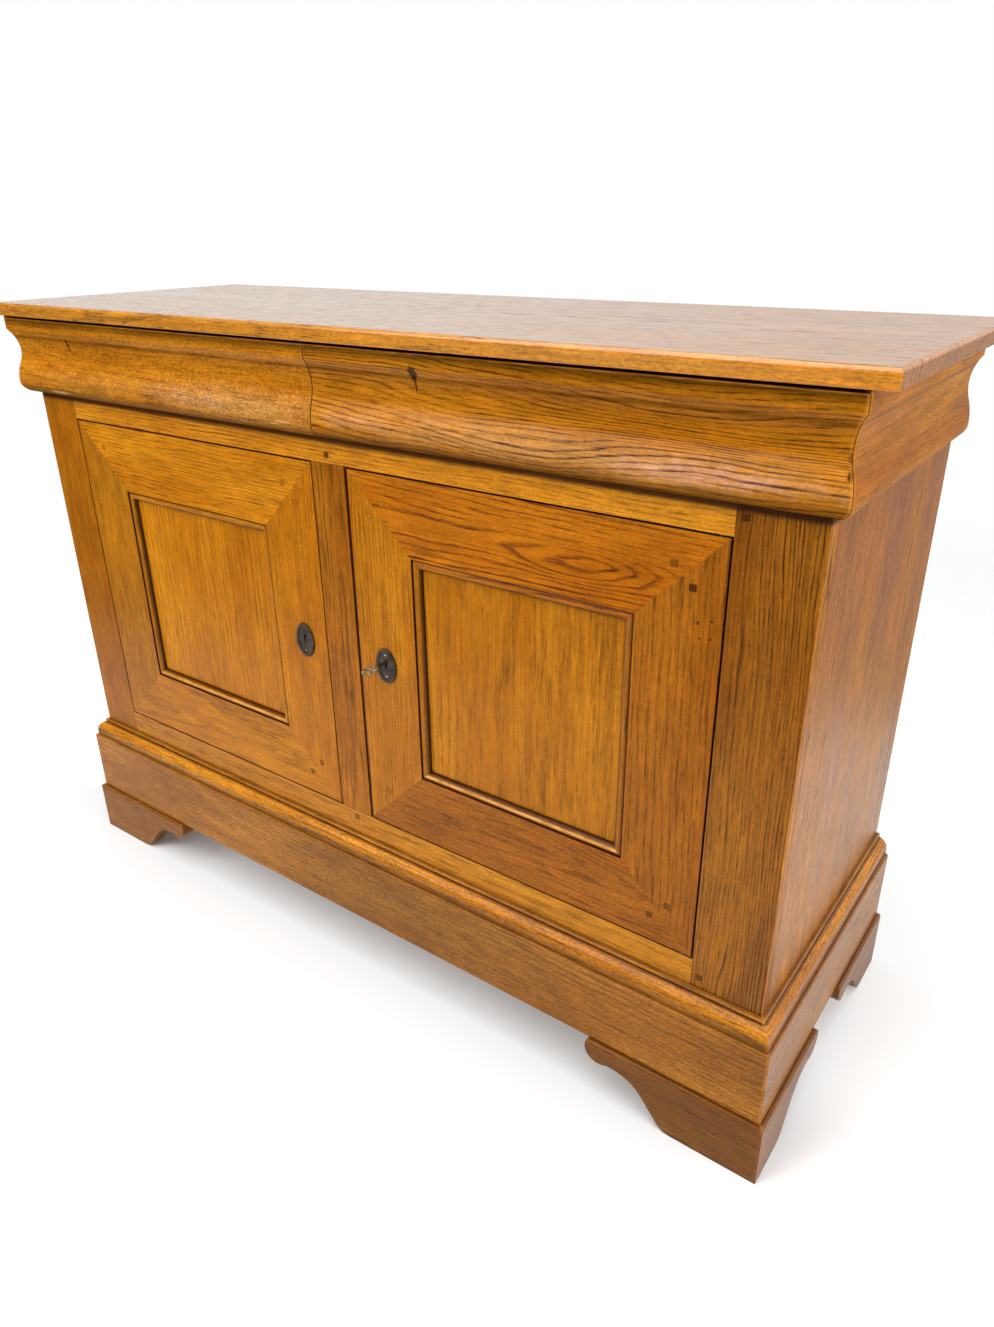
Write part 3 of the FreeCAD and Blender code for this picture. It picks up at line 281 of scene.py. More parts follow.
def edge_group():
    """How near a point lies to the rim of a box, raggedly: 1 at the rim, 0 past the width."""
    inputs = {"Place": "vector", "Low": "vector", "High": "vector", "Width": "float"}
    graph, given, result = new_group("edge_share", inputs, {"Share": "float"})
    from_low = graph.separate(graph.vector("SUBTRACT", given["Place"], given["Low"]))
    from_high = graph.separate(graph.vector("SUBTRACT", given["High"], given["Place"]))
    nearest = [graph.math("MINIMUM", low, high) for low, high in zip(from_low, from_high)]
    rim = graph.math("MINIMUM", graph.math("MINIMUM", nearest[0], nearest[1]), nearest[2])
    ragged = graph.speckle(given["Place"], 90.0, detail=3.0)
    reach = graph.times(given["Width"], graph.remap(ragged, 0.25, 0.75, 0.3, 1.5))
    graph.feed(result["Share"], graph.minus(1.0, graph.remap(rim, 0.0, reach)))
    return graph.tree


def metal_group():
    """Worn metal: tarnish in clouds and small pits."""
    inputs = {"Place": "vector", "Bright": "colour", "Tarnish": "colour", "Wear": "float"}
    outputs = {"Color": "colour", "Roughness": "float", "Height": "float"}
    graph, given, result = new_group("worn_metal", inputs, outputs)
    cloud = graph.speckle(given["Place"], 130.0, detail=4.0, roughness=0.6)
    pits = graph.remap(graph.speckle(given["Place"], 900.0, detail=2.0), 0.5, 0.7)
    share = graph.times(graph.remap(cloud, 0.3, 0.7), given["Wear"])
    graph.feed(result["Color"], graph.mix(share, given["Tarnish"], given["Bright"]))
    graph.feed(result["Roughness"], graph.remap(cloud, 0.25, 0.75, 0.52, 0.3))
    graph.feed(result["Height"], graph.minus(graph.times(cloud, 0.6), pits))
    return graph.tree


# Materials

OAK = {
    "seed": 0.0, "ring_width": 0.0048, "ring_depth": 0.7, "heart": 0.25, "heart_offset": 0.35,
    "lean": 0.012, "waver": 0.02, "pores": 0.6, "flecks": 0.12, "stain": 0.1, "grit": 0.9,
    "mottle": 0.8, "eye": (0.0, 0.0, 0.0), "eye_rise": 0.0,
    "light": (0.66, 0.245, 0.005), "middle": (0.50, 0.158, 0.002), "dark": (0.105, 0.029, 0.001),
}
WAX_ROUGHNESS = 0.16
OCCLUSION_SAMPLES = 6
CREVICE_REACH = 0.007
WORN_AND_HIGHLIT_REACH = 0.003
BEAD_WIDTH = 0.015
# Painted shade across a bead, from the panel side to the frame's face: dark at both sides
BEAD_STOPS = ((0.0, 0.2), (0.1, 0.35), (0.26, 0.85), (0.5, 0.92), (0.7, 0.7), (0.8, 0.32),
              (0.87, 0.26), (0.93, 1.0))
GROUPS = {}

# Pairs of metres between which a look comes or goes

BEAD_FRONT = (0.011, 0.013)
BEAD_REACH = (0.0145, 0.017)
BEAD_RECESS = (0.0022, 0.0075)
SEAM_DEPTH = (0.001, 0.003)
LID_FOOT = (0.012, 0.006)
LID_HEAD = (-0.004, -0.001)
FACE_SKIN = (0.0012, 0.0004)


def new_material(name):
    """Empty node material, its graph and its principled shader."""
    material = bpy.data.materials.new(name)
    material.use_nodes = True
    material.node_tree.nodes.clear()
    graph = Graph(material.node_tree)
    shader = graph.add("ShaderNodeBsdfPrincipled")
    output = graph.add("ShaderNodeOutputMaterial")
    graph.feed(output.inputs["Surface"], shader.outputs[0])
    return material, graph, shader


def bump(graph, shader, height, strength, distance):
    node = graph.add("ShaderNodeBump")
    for name, value in (("Strength", strength), ("Distance", distance), ("Height", height)):
        graph.feed(node.inputs[name], value)
    graph.feed(shader.inputs["Normal"], node.outputs[0])


def third_axis(grain, across):
    return ({"x", "y", "z"} - {grain, across}).pop()


def board_place(graph, grain, across):
    """Point in board coordinates: along the grain, across it, and through the board."""
    axes = dict(zip("xyz", graph.axes()))
    return graph.combine(axes[grain], axes[across], axes[third_axis(grain, across)])


def tone_along(graph, share, stops):
    """Painted light and shade that change along a share from 0 to 1, as under an overhang."""
    ramp = graph.add("ShaderNodeValToRGB")
    elements = ramp.color_ramp.elements
    elements.remove(elements[1])
    elements[0].position, elements[0].color = stops[0][0], rgba((stops[0][1],) * 3)
    for place, tone in stops[1:]:
        elements.new(place).color = rgba((tone,) * 3)
    graph.feed(ramp.inputs[0], share)
    return ramp.outputs[0]


def beaded(graph, colour, axis, inner, toward, glow):
    """Colour of a door frame's member and its inner bead: painted shade in the recess and on both
    sides, painted highlight on the crown.
    """
    axes = graph.axes()
    way = graph.times(graph.minus(axes[axis], inner), toward)
    depth = graph.minus(axes[Y], FACE)
    front = graph.remap(depth, *BEAD_FRONT, 1.0, 0.0)
    near = graph.times(front, graph.remap(way, *BEAD_REACH, 1.0, 0.0))
    sunk = graph.times(near, graph.remap(depth, *BEAD_RECESS, 0.0, 0.6))
    colour = graph.mix(sunk, colour, rgba(BEAD_SHADE))
    share = graph.remap(way, 0.0, BEAD_WIDTH, smooth=False)
    toned = graph.mix(1.0, colour, tone_along(graph, share, BEAD_STOPS), blend="MULTIPLY")
    colour = graph.mix(front, colour, toned)
    crown = graph.times(graph.remap(share, 0.2, 0.36), graph.remap(share, 0.42, 0.62, 1.0, 0.0))
    patchy = graph.speckle(graph.place(), 60.0, detail=3.0)
    crown = graph.times(crown, graph.remap(patchy, 0.3, 0.6, 0.45 * glow, glow))
    return graph.mix(graph.times(crown, front), colour, rgba(BEAD_HIGHLIGHT))


def seamed(graph, colour, axis, level, width):
    """Colour with a painted dark red line of gap shadow on the front face along one edge."""
    axes = graph.axes()
    way = graph.math("ABSOLUTE", graph.minus(axes[axis], level))
    front = graph.remap(graph.minus(axes[Y], FACE), *SEAM_DEPTH, 0.9, 0.0)
    line = graph.times(front, graph.remap(way, width * 0.6, width * 1.2, 1.0, 0.0))
    return graph.mix(line, colour, rgba(SEAM_SHADE))


def overhung(graph, colour, level):
    """Colour with a painted dark line of shade just under an overhang that ends at a height."""
    drop = graph.minus(level, graph.axes()[Z])
    line = graph.times(graph.remap(drop, *LID_FOOT), graph.remap(drop, *LID_HEAD))
    return graph.mix(graph.times(line, 0.92), colour, rgba(LID_SHADE))


def face_painted_light(graph, colour, axis, level, change):
    """Colour changed on the outer face that lies at a level of one axis: painted light on that
    face.
    """
    outward = graph.times(graph.axes()[axis], math.copysign(1.0, level))
    start, end = (abs(level) - skin for skin in FACE_SKIN)
    on_face = graph.remap(outward, start, end)
    return graph.mix(on_face, colour, graph.mix(1.0, colour, rgba(change), blend="MULTIPLY"))


def crevice_shade(graph, colour, share):
    """Colour with painted shade, from occlusion, in corners and narrow gaps."""
    hollow = graph.add("ShaderNodeAmbientOcclusion", samples=OCCLUSION_SAMPLES)
    graph.feed(hollow.inputs["Distance"], CREVICE_REACH)
    dirt = graph.remap(hollow.outputs["AO"], 0.9, 0.4, 0.0, share)
    return graph.mix(dirt, colour, rgba(CREVICE_SHADE))


def worn_and_highlit_edges(graph, colour, share, paint):
    """Colour made lighter along outer edges, unevenly: wear, with painted highlight on the arrises.
    """
    edge = graph.add("ShaderNodeAmbientOcclusion", samples=OCCLUSION_SAMPLES, inside=True,
                     only_local=True)
    graph.feed(edge.inputs["Distance"], WORN_AND_HIGHLIT_REACH)
    patchy = graph.remap(graph.speckle(graph.place(), 38.0, detail=3.0), 0.35, 0.65, 0.3, 1.0)
    rubbed_and_highlit = graph.times(graph.remap(edge.outputs["AO"], 0.92, 0.55), patchy)
    return graph.mix(graph.times(rubbed_and_highlit, share), colour, paint)


def marked(graph, colour, marks, blend, swing, start):
    """Colour with ragged ovals seen from the front, solid up to a start share of their size.

    A mark is its X and Z, half width, half height, strength and paint.
    """
    for x, z, half_width, half_height, share, paint in marks:
        way = graph.vector("SUBTRACT", graph.place(), (x, 0.0, z))
        way = graph.vector("MULTIPLY", way, (1.0 / half_width, 0.0, 1.0 / half_height))
        ragged = graph.speckle(graph.place(), 1.7 / min(half_width, half_height), detail=2.0)
        ragged = graph.remap(ragged, 0.2, 0.8, -swing, swing, smooth=False)
        reach = graph.plus(graph.vector("LENGTH", way), ragged)
        colour = graph.mix(graph.remap(reach, start, 1.1, share, 0.0), colour, rgba(paint), blend)
    return colour


def oak_material(name, grain, across, coat=0.05, gloss=0.1, rim_width=0.004, rim_dark=0.12,
                 shades=(), face=None, dirt=0.85, sealed=False, tone=1.0, marks=(), worn=0.0,
                 bead=None, seam=None, flat=None, glaze=(), lid=None, tint=WHITE, **look):
    """Waxed oak for one node, with its rims darkened and painted shade in its corners."""
    material, graph, shader = new_material(name)
    settings = {**OAK, **look}
    for part in ("light", "middle", "dark"):
        paint = [tone * share * value for share, value in zip(tint, settings[part])]
        settings[part] = rgba(paint)
    low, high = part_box(name)
    through = "xyz".index(third_axis(grain, across))
    settings["flat"] = (low[through] + high[through]) / 2 if flat is None else flat
    wood = graph.group(GROUPS["oak"], board=board_place(graph, grain, across), **settings)
    colour = wood["Color"]
    # Brightness that changes with height: painted light and shade on the drawer fronts, returns and
    # plinth mouldings
    if shades:
        shade = tone_along(graph, graph.remap(graph.axes()[Z], low.z, high.z, smooth=False), shades)
        colour = graph.mix(1.0, colour, shade, blend="MULTIPLY")
    if face:
        colour = face_painted_light(graph, colour, *face)
    # Ovals multiplied over the colour: painted highlight, reflection and light on some pieces, a
    # darker middle on the plinth's front board
    colour = marked(graph, colour, glaze, "MULTIPLY", swing=0.25, start=0.1)
    colour = marked(graph, colour, marks, "MIX", swing=0.5, start=0.6)
    # The rim is seen from the board's broad side only
    low[through] -= 1.0
    high[through] += 1.0
    place = graph.place()
    rim = graph.group(GROUPS["edge"], place=place, low=low, high=high, width=rim_width)[0]
    colour = graph.mix(graph.times(rim, rim_dark), colour, rgba(RIM_DIRT))
    if bead:
        colour = beaded(graph, colour, *bead)
    if seam:
        colour = seamed(graph, colour, *seam)
    if lid:
        colour = overhung(graph, colour, lid)
    colour = crevice_shade(graph, colour, dirt)
    # Edges made paler: wear, with painted highlight on the arrises
    if worn:
        pale = rgba([value * 1.15 + 0.03 for value in settings["light"][:3]])
        colour = worn_and_highlit_edges(graph, colour, worn, pale)
    graph.feed(shader.inputs["Base Color"], colour)
    graph.feed(shader.inputs["Roughness"], wood["Roughness"])
    wax = coat
    if shades:
        wax = graph.remap(shade, 0.5, 0.9, 0.0, coat)
    elif sealed:
        wax = graph.remap(wood["Open"], 0.0, 0.7, coat, coat * 0.1, smooth=False)
    graph.feed(shader.inputs["Coat Weight"], wax)
    shader.inputs["Specular IOR Level"].default_value = gloss
    shader.inputs["Coat Roughness"].default_value = WAX_ROUGHNESS
    bump(graph, shader, wood["Height"], strength=0.35, distance=0.0006)
    return material


def metal_material(name, bright, tarnish, wear, metallic, shade_from=None):
    """Worn metal for one piece, with painted shade behind a depth where one is given."""
    material, graph, shader = new_material(name)
    metal = graph.group(GROUPS["metal"], place=graph.place(), bright=rgba(bright),
                        tarnish=rgba(tarnish), wear=wear)
    colour = metal["Color"]
    if shade_from is not None:
        behind = graph.minus(graph.axes()[Y], shade_from)
        colour = graph.mix(graph.remap(behind, 0.0, 0.003, 0.0, 0.9), colour, rgba(KEY_SHADE))
    graph.feed(shader.inputs["Base Color"], colour)
    graph.feed(shader.inputs["Roughness"], metal["Roughness"])
    shader.inputs["Metallic"].default_value = metallic
    bump(graph, shader, metal["Height"], strength=0.3, distance=0.0004)
    return material


def dress(node, material):
    """Give a CAD node its one material."""
    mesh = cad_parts[node].data
    mesh.materials.clear()
    mesh.materials.append(material)


def ease_edges(node, width):
    """Round a node's sharp edges a little, with its own mesh left as it is."""
    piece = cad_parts[node]
    weld = piece.modifiers.new("join", "WELD")
    weld.merge_threshold = 0.00002
    flat = piece.modifiers.new("flatten", "DECIMATE")
    flat.decimate_type = "DISSOLVE"
    flat.angle_limit = math.radians(0.5)
    round_off = piece.modifiers.new("round", "BEVEL")
    round_off.width = width
    round_off.segments = 2
    round_off.limit_method = "ANGLE"
    round_off.angle_limit = math.radians(35)
    level = piece.modifiers.new("shade", "WEIGHTED_NORMAL")
    level.weight = 60
    level.keep_sharp = True


def dress_oak(settings, node, grain, across, **look):
    """Give a node its own oak, with the grain along one axis, and ease its edges."""
    dress(node, oak_material(node, grain, across, **look))
    ease_edges(node, settings.edge)


# Settings


class BuffetOak(bpy.types.PropertyGroup):
    edge: bpy.props.FloatProperty(
        name="Edge", description="Rounding of the wood's edges", default=0.0009, min=0.0,
        unit="LENGTH")
    coat: bpy.props.FloatProperty(
        name="Wax", description="Strength of the wax over the wood", default=0.06, min=0.0, max=1.0,
        subtype="FACTOR")


class BuffetStage(bpy.types.PropertyGroup):
    eye: bpy.props.FloatVectorProperty(
        name="Camera", description="Place of the camera", default=(0.91397, -1.08246, 1.11533),
        subtype="XYZ")
    ahead: bpy.props.FloatVectorProperty(
        name="Ahead", description="Direction of view", default=(-0.53548, 0.73017, -0.42440),
        subtype="XYZ")
    rightward: bpy.props.FloatVectorProperty(
        name="Right", description="Right side of the picture", default=(0.80930, 0.58730, -0.01069),
        subtype="XYZ")
    lens: bpy.props.FloatProperty(
        name="Lens", description="Focal length in millimetres", default=25.84, min=1.0,
        unit="CAMERA")
    sky: bpy.props.FloatProperty(
        name="Sky", description="Strength of the light from all round", default=0.32, min=0.0)
    key: bpy.props.FloatProperty(
        name="Key", description="Power of the main light in watts", default=95.0, min=0.0)
    fill: bpy.props.FloatProperty(
        name="Fill", description="Power of the light on the right end in watts", default=34.0,
        min=0.0)
    overhead: bpy.props.FloatProperty(
        name="Overhead", description="Power of the light above in watts", default=110.0, min=0.0)


# Operators


class BUFFET_OT_top(bpy.types.Operator):
    """Dress the top board"""
    bl_idname = "buffet.top"
    bl_label = "Top board"

    def execute(self, context):
        oak = context.scene.buffet_oak
        top_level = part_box("top_board")[1].z
        # Painted light on the top board: its top face painted greyer as a painted reflection, the
        # right end lighter and warmer, and along the front edge a painted sheen on the right half
        # and a deeper orange left half
        top_ovals = ((0.85, 1.0, 0.95, 3.0, 1.0, (1.3, 1.16, 0.95)),
                  (0.45, 0.989, 0.4, 0.008, 1.0, (0.9, 1.12, 3.4)),
                  (-0.45, 0.989, 0.45, 0.008, 1.0, (0.92, 0.88, 0.6)))
        dress_oak(oak, "top_board", "x", "y", coat=1.0, gloss=0.3, sealed=True, worn=0.6, seed=3.1,
                  ring_width=0.011, ring_depth=0.6, heart=0.05, heart_offset=0.02, lean=0.02,
                  waver=0.05, pores=0.75, stain=0.0, grit=1.3, glaze=top_ovals,
                  face=(Z, top_level, (0.61, 0.73, 2.0)), light=(0.70, 0.275, 0.016),
                  middle=(0.60, 0.225, 0.011))
        return {"FINISHED"}


class BUFFET_OT_cornice(bpy.types.Operator):
    """Dress the drawer fronts and the cornice returns"""
    bl_idname = "buffet.cornice"
    bl_label = "Cornice"

    def execute(self, context):
        oak = context.scene.buffet_oak
        # Painted shade on the drawer fronts: on the low lip, in a line at the step between cove and
        # fillet, and under the top's overhang on the fillet, with the front's top face left lighter
        ogee_shades = ((0.0, 0.25), (0.04, 0.45), (0.13, 0.78), (0.3, 1.0), (0.5, 0.88),
                       (0.72, 0.78), (0.76, 0.4), (0.795, 0.82), (0.87, 0.78), (0.94, 0.4),
                       (0.98, 0.2), (0.994, 0.2), (0.9985, 0.75))
        ogee = {"shades": ogee_shades, "coat": 0.16, "gloss": 0.03, "worn": 0.4, "flat": FACE,
                "tint": (1.0, 1.0, 2.0)}
        knots = ((0.174, 0.955, 0.007, 0.009, 0.9, DEEP_INK),
                 (0.174, 0.943, 0.002, 0.012, 0.8, DEEP_INK),
                 (0.675, 0.919, 0.0045, 0.006, 0.9, DEEP_INK),
                 (0.677, 0.905, 0.0035, 0.006, 0.9, DEEP_INK),
                 (0.676, 0.93, 0.0025, 0.009, 0.5, DEEP_INK))
        # Painted highlight along the right drawer front's bulge
        crest_highlights = ((0.35, 0.888, 0.40, 0.024, 1.0, (1.12, 1.5, 11.0)),
                 (0.56, 0.887, 0.15, 0.018, 1.0, (1.12, 1.25, 3.0)),
                 (0.07, 0.889, 0.09, 0.016, 1.0, (1.1, 1.2, 2.5)))
        # A dark spot and pale scuff marks; the long pale mark on the low lip at the left is a
        # painted glint
        scuffs_and_glint = ((-0.531, 0.943, 0.004, 0.010, 0.8, DEEP_INK),
                  (-0.57, 0.869, 0.03, 0.0022, 0.8, SCUFF_AND_GLINT),
                  (-0.07, 0.873, 0.012, 0.0012, 0.7, SCUFF_AND_GLINT),
                  (-0.05, 0.877, 0.016, 0.0012, 0.7, SCUFF_AND_GLINT))
        # Painted highlight along the left drawer front's bulge, weaker to the left, and the low lip
        # darker at the left end
        rubbed_and_highlit = ((-0.13, 0.891, 0.24, 0.03, 1.0, (1.02, 1.38, 9.0)),
                  (-0.45, 0.889, 0.3, 0.024, 1.0, (0.9, 1.0, 3.0)),
                  (-0.55, 0.868, 0.4, 0.012, 1.0, (0.8, 0.85, 1.0)))
        dress_oak(oak, "left_drawer_front", "x", "z", seed=7.3, ring_depth=0.2, heart_offset=0.75,
                  pores=0.4, flecks=0.35, grit=2.2, stain=0.2, marks=scuffs_and_glint, glaze=rubbed_and_highlit, **ogee)
        dress_oak(oak, "right_drawer_front", "x", "z", seed=12.9, ring_width=0.0045,
                  ring_depth=1.45, heart=0.0, heart_offset=0.80, lean=0.02, waver=0.09,
                  stain=0.15, marks=knots, glaze=crest_highlights, eye=(0.335, 0.880, 0.0), eye_rise=0.016,
                  **ogee)
        # Painted light on the returns: a painted highlight on the low lip, a painted dark line at
        # the step below the fillet, the cove painted paler as a painted reflection and the bulge
        # deeper orange
        return_shades = ((0.0, 1.3), (0.05, 1.1), (0.1, 1.0), (0.72, 1.0), (0.755, 0.62),
                         (0.79, 1.05), (1.0, 1.0))
        return_reflection_bands = ((0.0, 0.892, 5.0, 0.024, 1.0, (0.96, 0.82, 0.4)),
                        (0.0, 0.94, 5.0, 0.03, 1.0, (1.2, 1.22, 4.0)))
        for side, seed in zip(SIDES, (21.0, 24.5)):
            dress_oak(oak, side + "_cornice_return", "y", "z", seed=seed, ring_depth=0.15,
                      pores=0.3, stain=0.25, worn=0.4, coat=oak.coat, gloss=0.14, tone=1.12,
                      shades=return_shades, glaze=return_reflection_bands)
        return {"FINISHED"}


class BUFFET_OT_carcass(bpy.types.Operator):
    """Dress the posts, rails, mullion, sides and pegs"""
    bl_idname = "buffet.carcass"
    bl_label = "Carcass"

    def execute(self, context):
        oak = context.scene.buffet_oak
        rail = {"light": (0.64, 0.25, 0.012), "middle": (0.52, 0.18, 0.007), "ring_depth": 0.55}
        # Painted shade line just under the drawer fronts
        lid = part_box("left_drawer_front")[0].z
        left_edge, right_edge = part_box("left_front_post")[0].x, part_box("right_front_post")[1].x
        # Painted light: the posts' outer side faces painted lighter and paler than their fronts
        dress_oak(oak, "left_front_post", "z", "x", seed=31.0, ring_depth=0.4, coat=oak.coat,
                  lid=lid, light=(0.46, 0.155, 0.002), middle=(0.355, 0.106, 0.001),
                  face=(X, left_edge, (1.3, 1.4, 6.0)))
        dress_oak(oak, "right_front_post", "z", "x", seed=34.0, ring_width=0.0042, ring_depth=1.9,
                  pores=0.6, stain=0.3, heart=0.06, heart_offset=0.5, waver=0.06, coat=oak.coat,
                  gloss=0.14, rim_dark=0.0, lid=lid, face=(X, right_edge, (2.05, 2.2, 6.0)),
                  light=(0.37, 0.128, 0.003), middle=(0.24, 0.071, 0.002),
                  dark=(0.065, 0.018, 0.001))
        # The mullion is darker towards the top
        dress_oak(oak, "centre_mullion", "z", "x", seed=37.0, ring_depth=1.0, heart=0.03,
                  heart_offset=0.012, waver=0.04, stain=0.3, coat=oak.coat,
                  shades=((0.0, 1.12), (0.35, 1.04), (0.7, 0.92), (1.0, 0.88)),
                  light=(0.43, 0.142, 0.004), middle=(0.31, 0.088, 0.002))
        dress_oak(oak, "top_rail", "x", "z", seed=41.0, coat=oak.coat, lid=lid, tone=1.22, **rail)
        dress_oak(oak, "bottom_rail", "x", "z", seed=44.0, coat=oak.coat, tone=0.92, **rail)
        dress_oak(oak, "drawer_head_rail", "x", "z", seed=47.0)
        # Painted light on the side panels: the upper part is painted deeper orange, with less of
        # the pale sheen that the lower part shows
        for side, seed in zip(SIDES, (51.0, 54.0)):
            dress_oak(oak, side + "_side_panel", "z", "y", seed=seed, ring_width=0.009,
                      ring_depth=0.65, waver=0.03, pores=0.6, flecks=0.25, grit=1.6, stain=0.15,
                      coat=0.15, gloss=0.45, tone=1.06,
                      glaze=((0.0, 0.85, 5.0, 0.4, 1.0, (1.0, 0.88, 0.6)),))
        dark_pegs = ((0.585, 0.84, 0.03, 0.03, 0.85, INK), (0.585, 0.265, 0.03, 0.03, 0.8, INK),
                     (0.0, 0.84, 0.03, 0.03, 0.7, INK), (0.0, 0.27, 0.03, 0.03, 0.4, INK))
        dress_oak(oak, "frame_pegs", "y", "x", seed=57.0, tone=0.7, pores=0.2, rim_dark=0.0,
                  dirt=0.3, marks=dark_pegs)
        return {"FINISHED"}


class BUFFET_OT_doors(bpy.types.Operator):
    """Dress the doors' frames, panels and pegs"""
    bl_idname = "buffet.doors"
    bl_label = "Doors"

    def execute(self, context):
        oak = context.scene.buffet_oak
        deep = {"light": (0.45, 0.145, 0.004), "middle": (0.33, 0.092, 0.002)}
        frame_wood = {"left": {}, "right": deep}
        head_rail = {
            "left": {"ring_depth": 0.8, "waver": 0.05},
            "right": {"eye": (0.397, 0.760, 0.0), "eye_rise": -0.02, "ring_width": 0.0062,
                      "ring_depth": 1.5, "dark": (0.15, 0.034, 0.002), "tint": (1.0, 0.85, 0.6),
                      "heart": 0.02, "heart_offset": 0.765, "lean": 0.03, "waver": 0.02,
                      "marks": ((0.155, 0.737, 0.022, 0.010, 0.4, (0.2, 0.05, 0.004)),)},
        }
        foot_rail = {
            "left": {"ring_depth": 0.3, "stain": 0.0, "pores": 0.5},
            "right": {"ring_depth": 1.2, "stain": 0.4, "grit": 1.4, "eye": (0.31, 0.368, 0.0),
                      "eye_rise": -0.014, "heart": 0.03, "heart_offset": 0.34, "lean": 0.02},
        }
        dark_pegs = {
            "left": ((-0.07, 0.33, 0.05, 0.06, 0.5, INK),),
            "right": ((0.525, 0.760, 0.014, 0.014, 0.9, INK),
                      (0.502, 0.785, 0.014, 0.014, 0.5, INK),
                      (0.5, 0.33, 0.05, 0.06, 0.75, INK), (0.09, 0.33, 0.05, 0.06, 0.35, INK)),
        }
        worm_holes = {
            "left": ((-0.551, 0.424, 0.0022, 0.0022, 0.8, INK),),
            "right": ((0.537, 0.725, 0.0022, 0.0022, 0.8, INK),
                      (0.552, 0.730, 0.002, 0.002, 0.8, INK),
                      (0.540, 0.708, 0.002, 0.002, 0.7, INK),
                      (0.552, 0.7095, 0.0022, 0.0022, 0.8, INK)),
        }
        # A painted shadow line along the right door's gap at its lock stile
        seams = {"left": None, "right": (X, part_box("right_door_lock_stile")[0].x, 0.002)}
        # Tones of the head rail, foot rail, hinge stile, lock stile and panel
        toning = {"left": (1.0, 0.9, 0.75, 0.94, 0.95), "right": (0.86, 0.97, 0.92, 0.86, 0.87)}
        panel_tongue = 0.009
        # Strength of the painted highlight on each bead's crown
        side_glow, head_glow, foot_glow = {"left": 0.05, "right": 0.08}, 0.05, 0.85
        away = {"left": -1.0, "right": 1.0}
        for side, lock_side, seed in zip(SIDES, reversed(SIDES), (61.0, 81.0)):
            door = side + "_door_"
            head_tone, foot_tone, hinge_tone, lock_tone, panel_tone = toning[side]
            panel_low, panel_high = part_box(door + "panel")
            opening = {"left": panel_low.x + panel_tongue, "right": panel_high.x - panel_tongue}
            beads = {end: (X, opening[end], away[end], side_glow[end]) for end in SIDES}
            dress_oak(oak, door + "top_rail", "x", "z", seed=seed, tone=head_tone, coat=oak.coat,
                      bead=(Z, panel_high.z - panel_tongue, 1.0, head_glow), **head_rail[side])
            dress_oak(oak, door + "bottom_rail", "x", "z", seed=seed + 3, tone=foot_tone,
                      coat=oak.coat, bead=(Z, panel_low.z + panel_tongue, -1.0, foot_glow),
                      **frame_wood[side], **foot_rail[side])
            dress_oak(oak, door + "hinge_stile", "z", "x", seed=seed + 5, tone=hinge_tone,
                      coat=oak.coat, ring_depth=0.5, marks=worm_holes[side], bead=beads[side],
                      **frame_wood[side])
            dress_oak(oak, door + "lock_stile", "z", "x", seed=seed + 7, tone=lock_tone,
                      coat=oak.coat, ring_depth=0.45, pores=0.45, bead=beads[lock_side],
                      seam=seams[side])
            dress_oak(oak, door + "panel", "z", "x", seed=seed + 9, tone=panel_tone, coat=oak.coat,
                      ring_width=0.009, ring_depth=0.4, pores=0.45, flecks=0.2, mottle=0.6,
                      grit=0.8, stain=0.06, rim_dark=0.0)
            dress_oak(oak, door + "pegs", "y", "x", seed=seed + 11, tone=0.75, pores=0.2,
                      rim_dark=0.0, dirt=0.3, marks=dark_pegs[side])
        return {"FINISHED"}


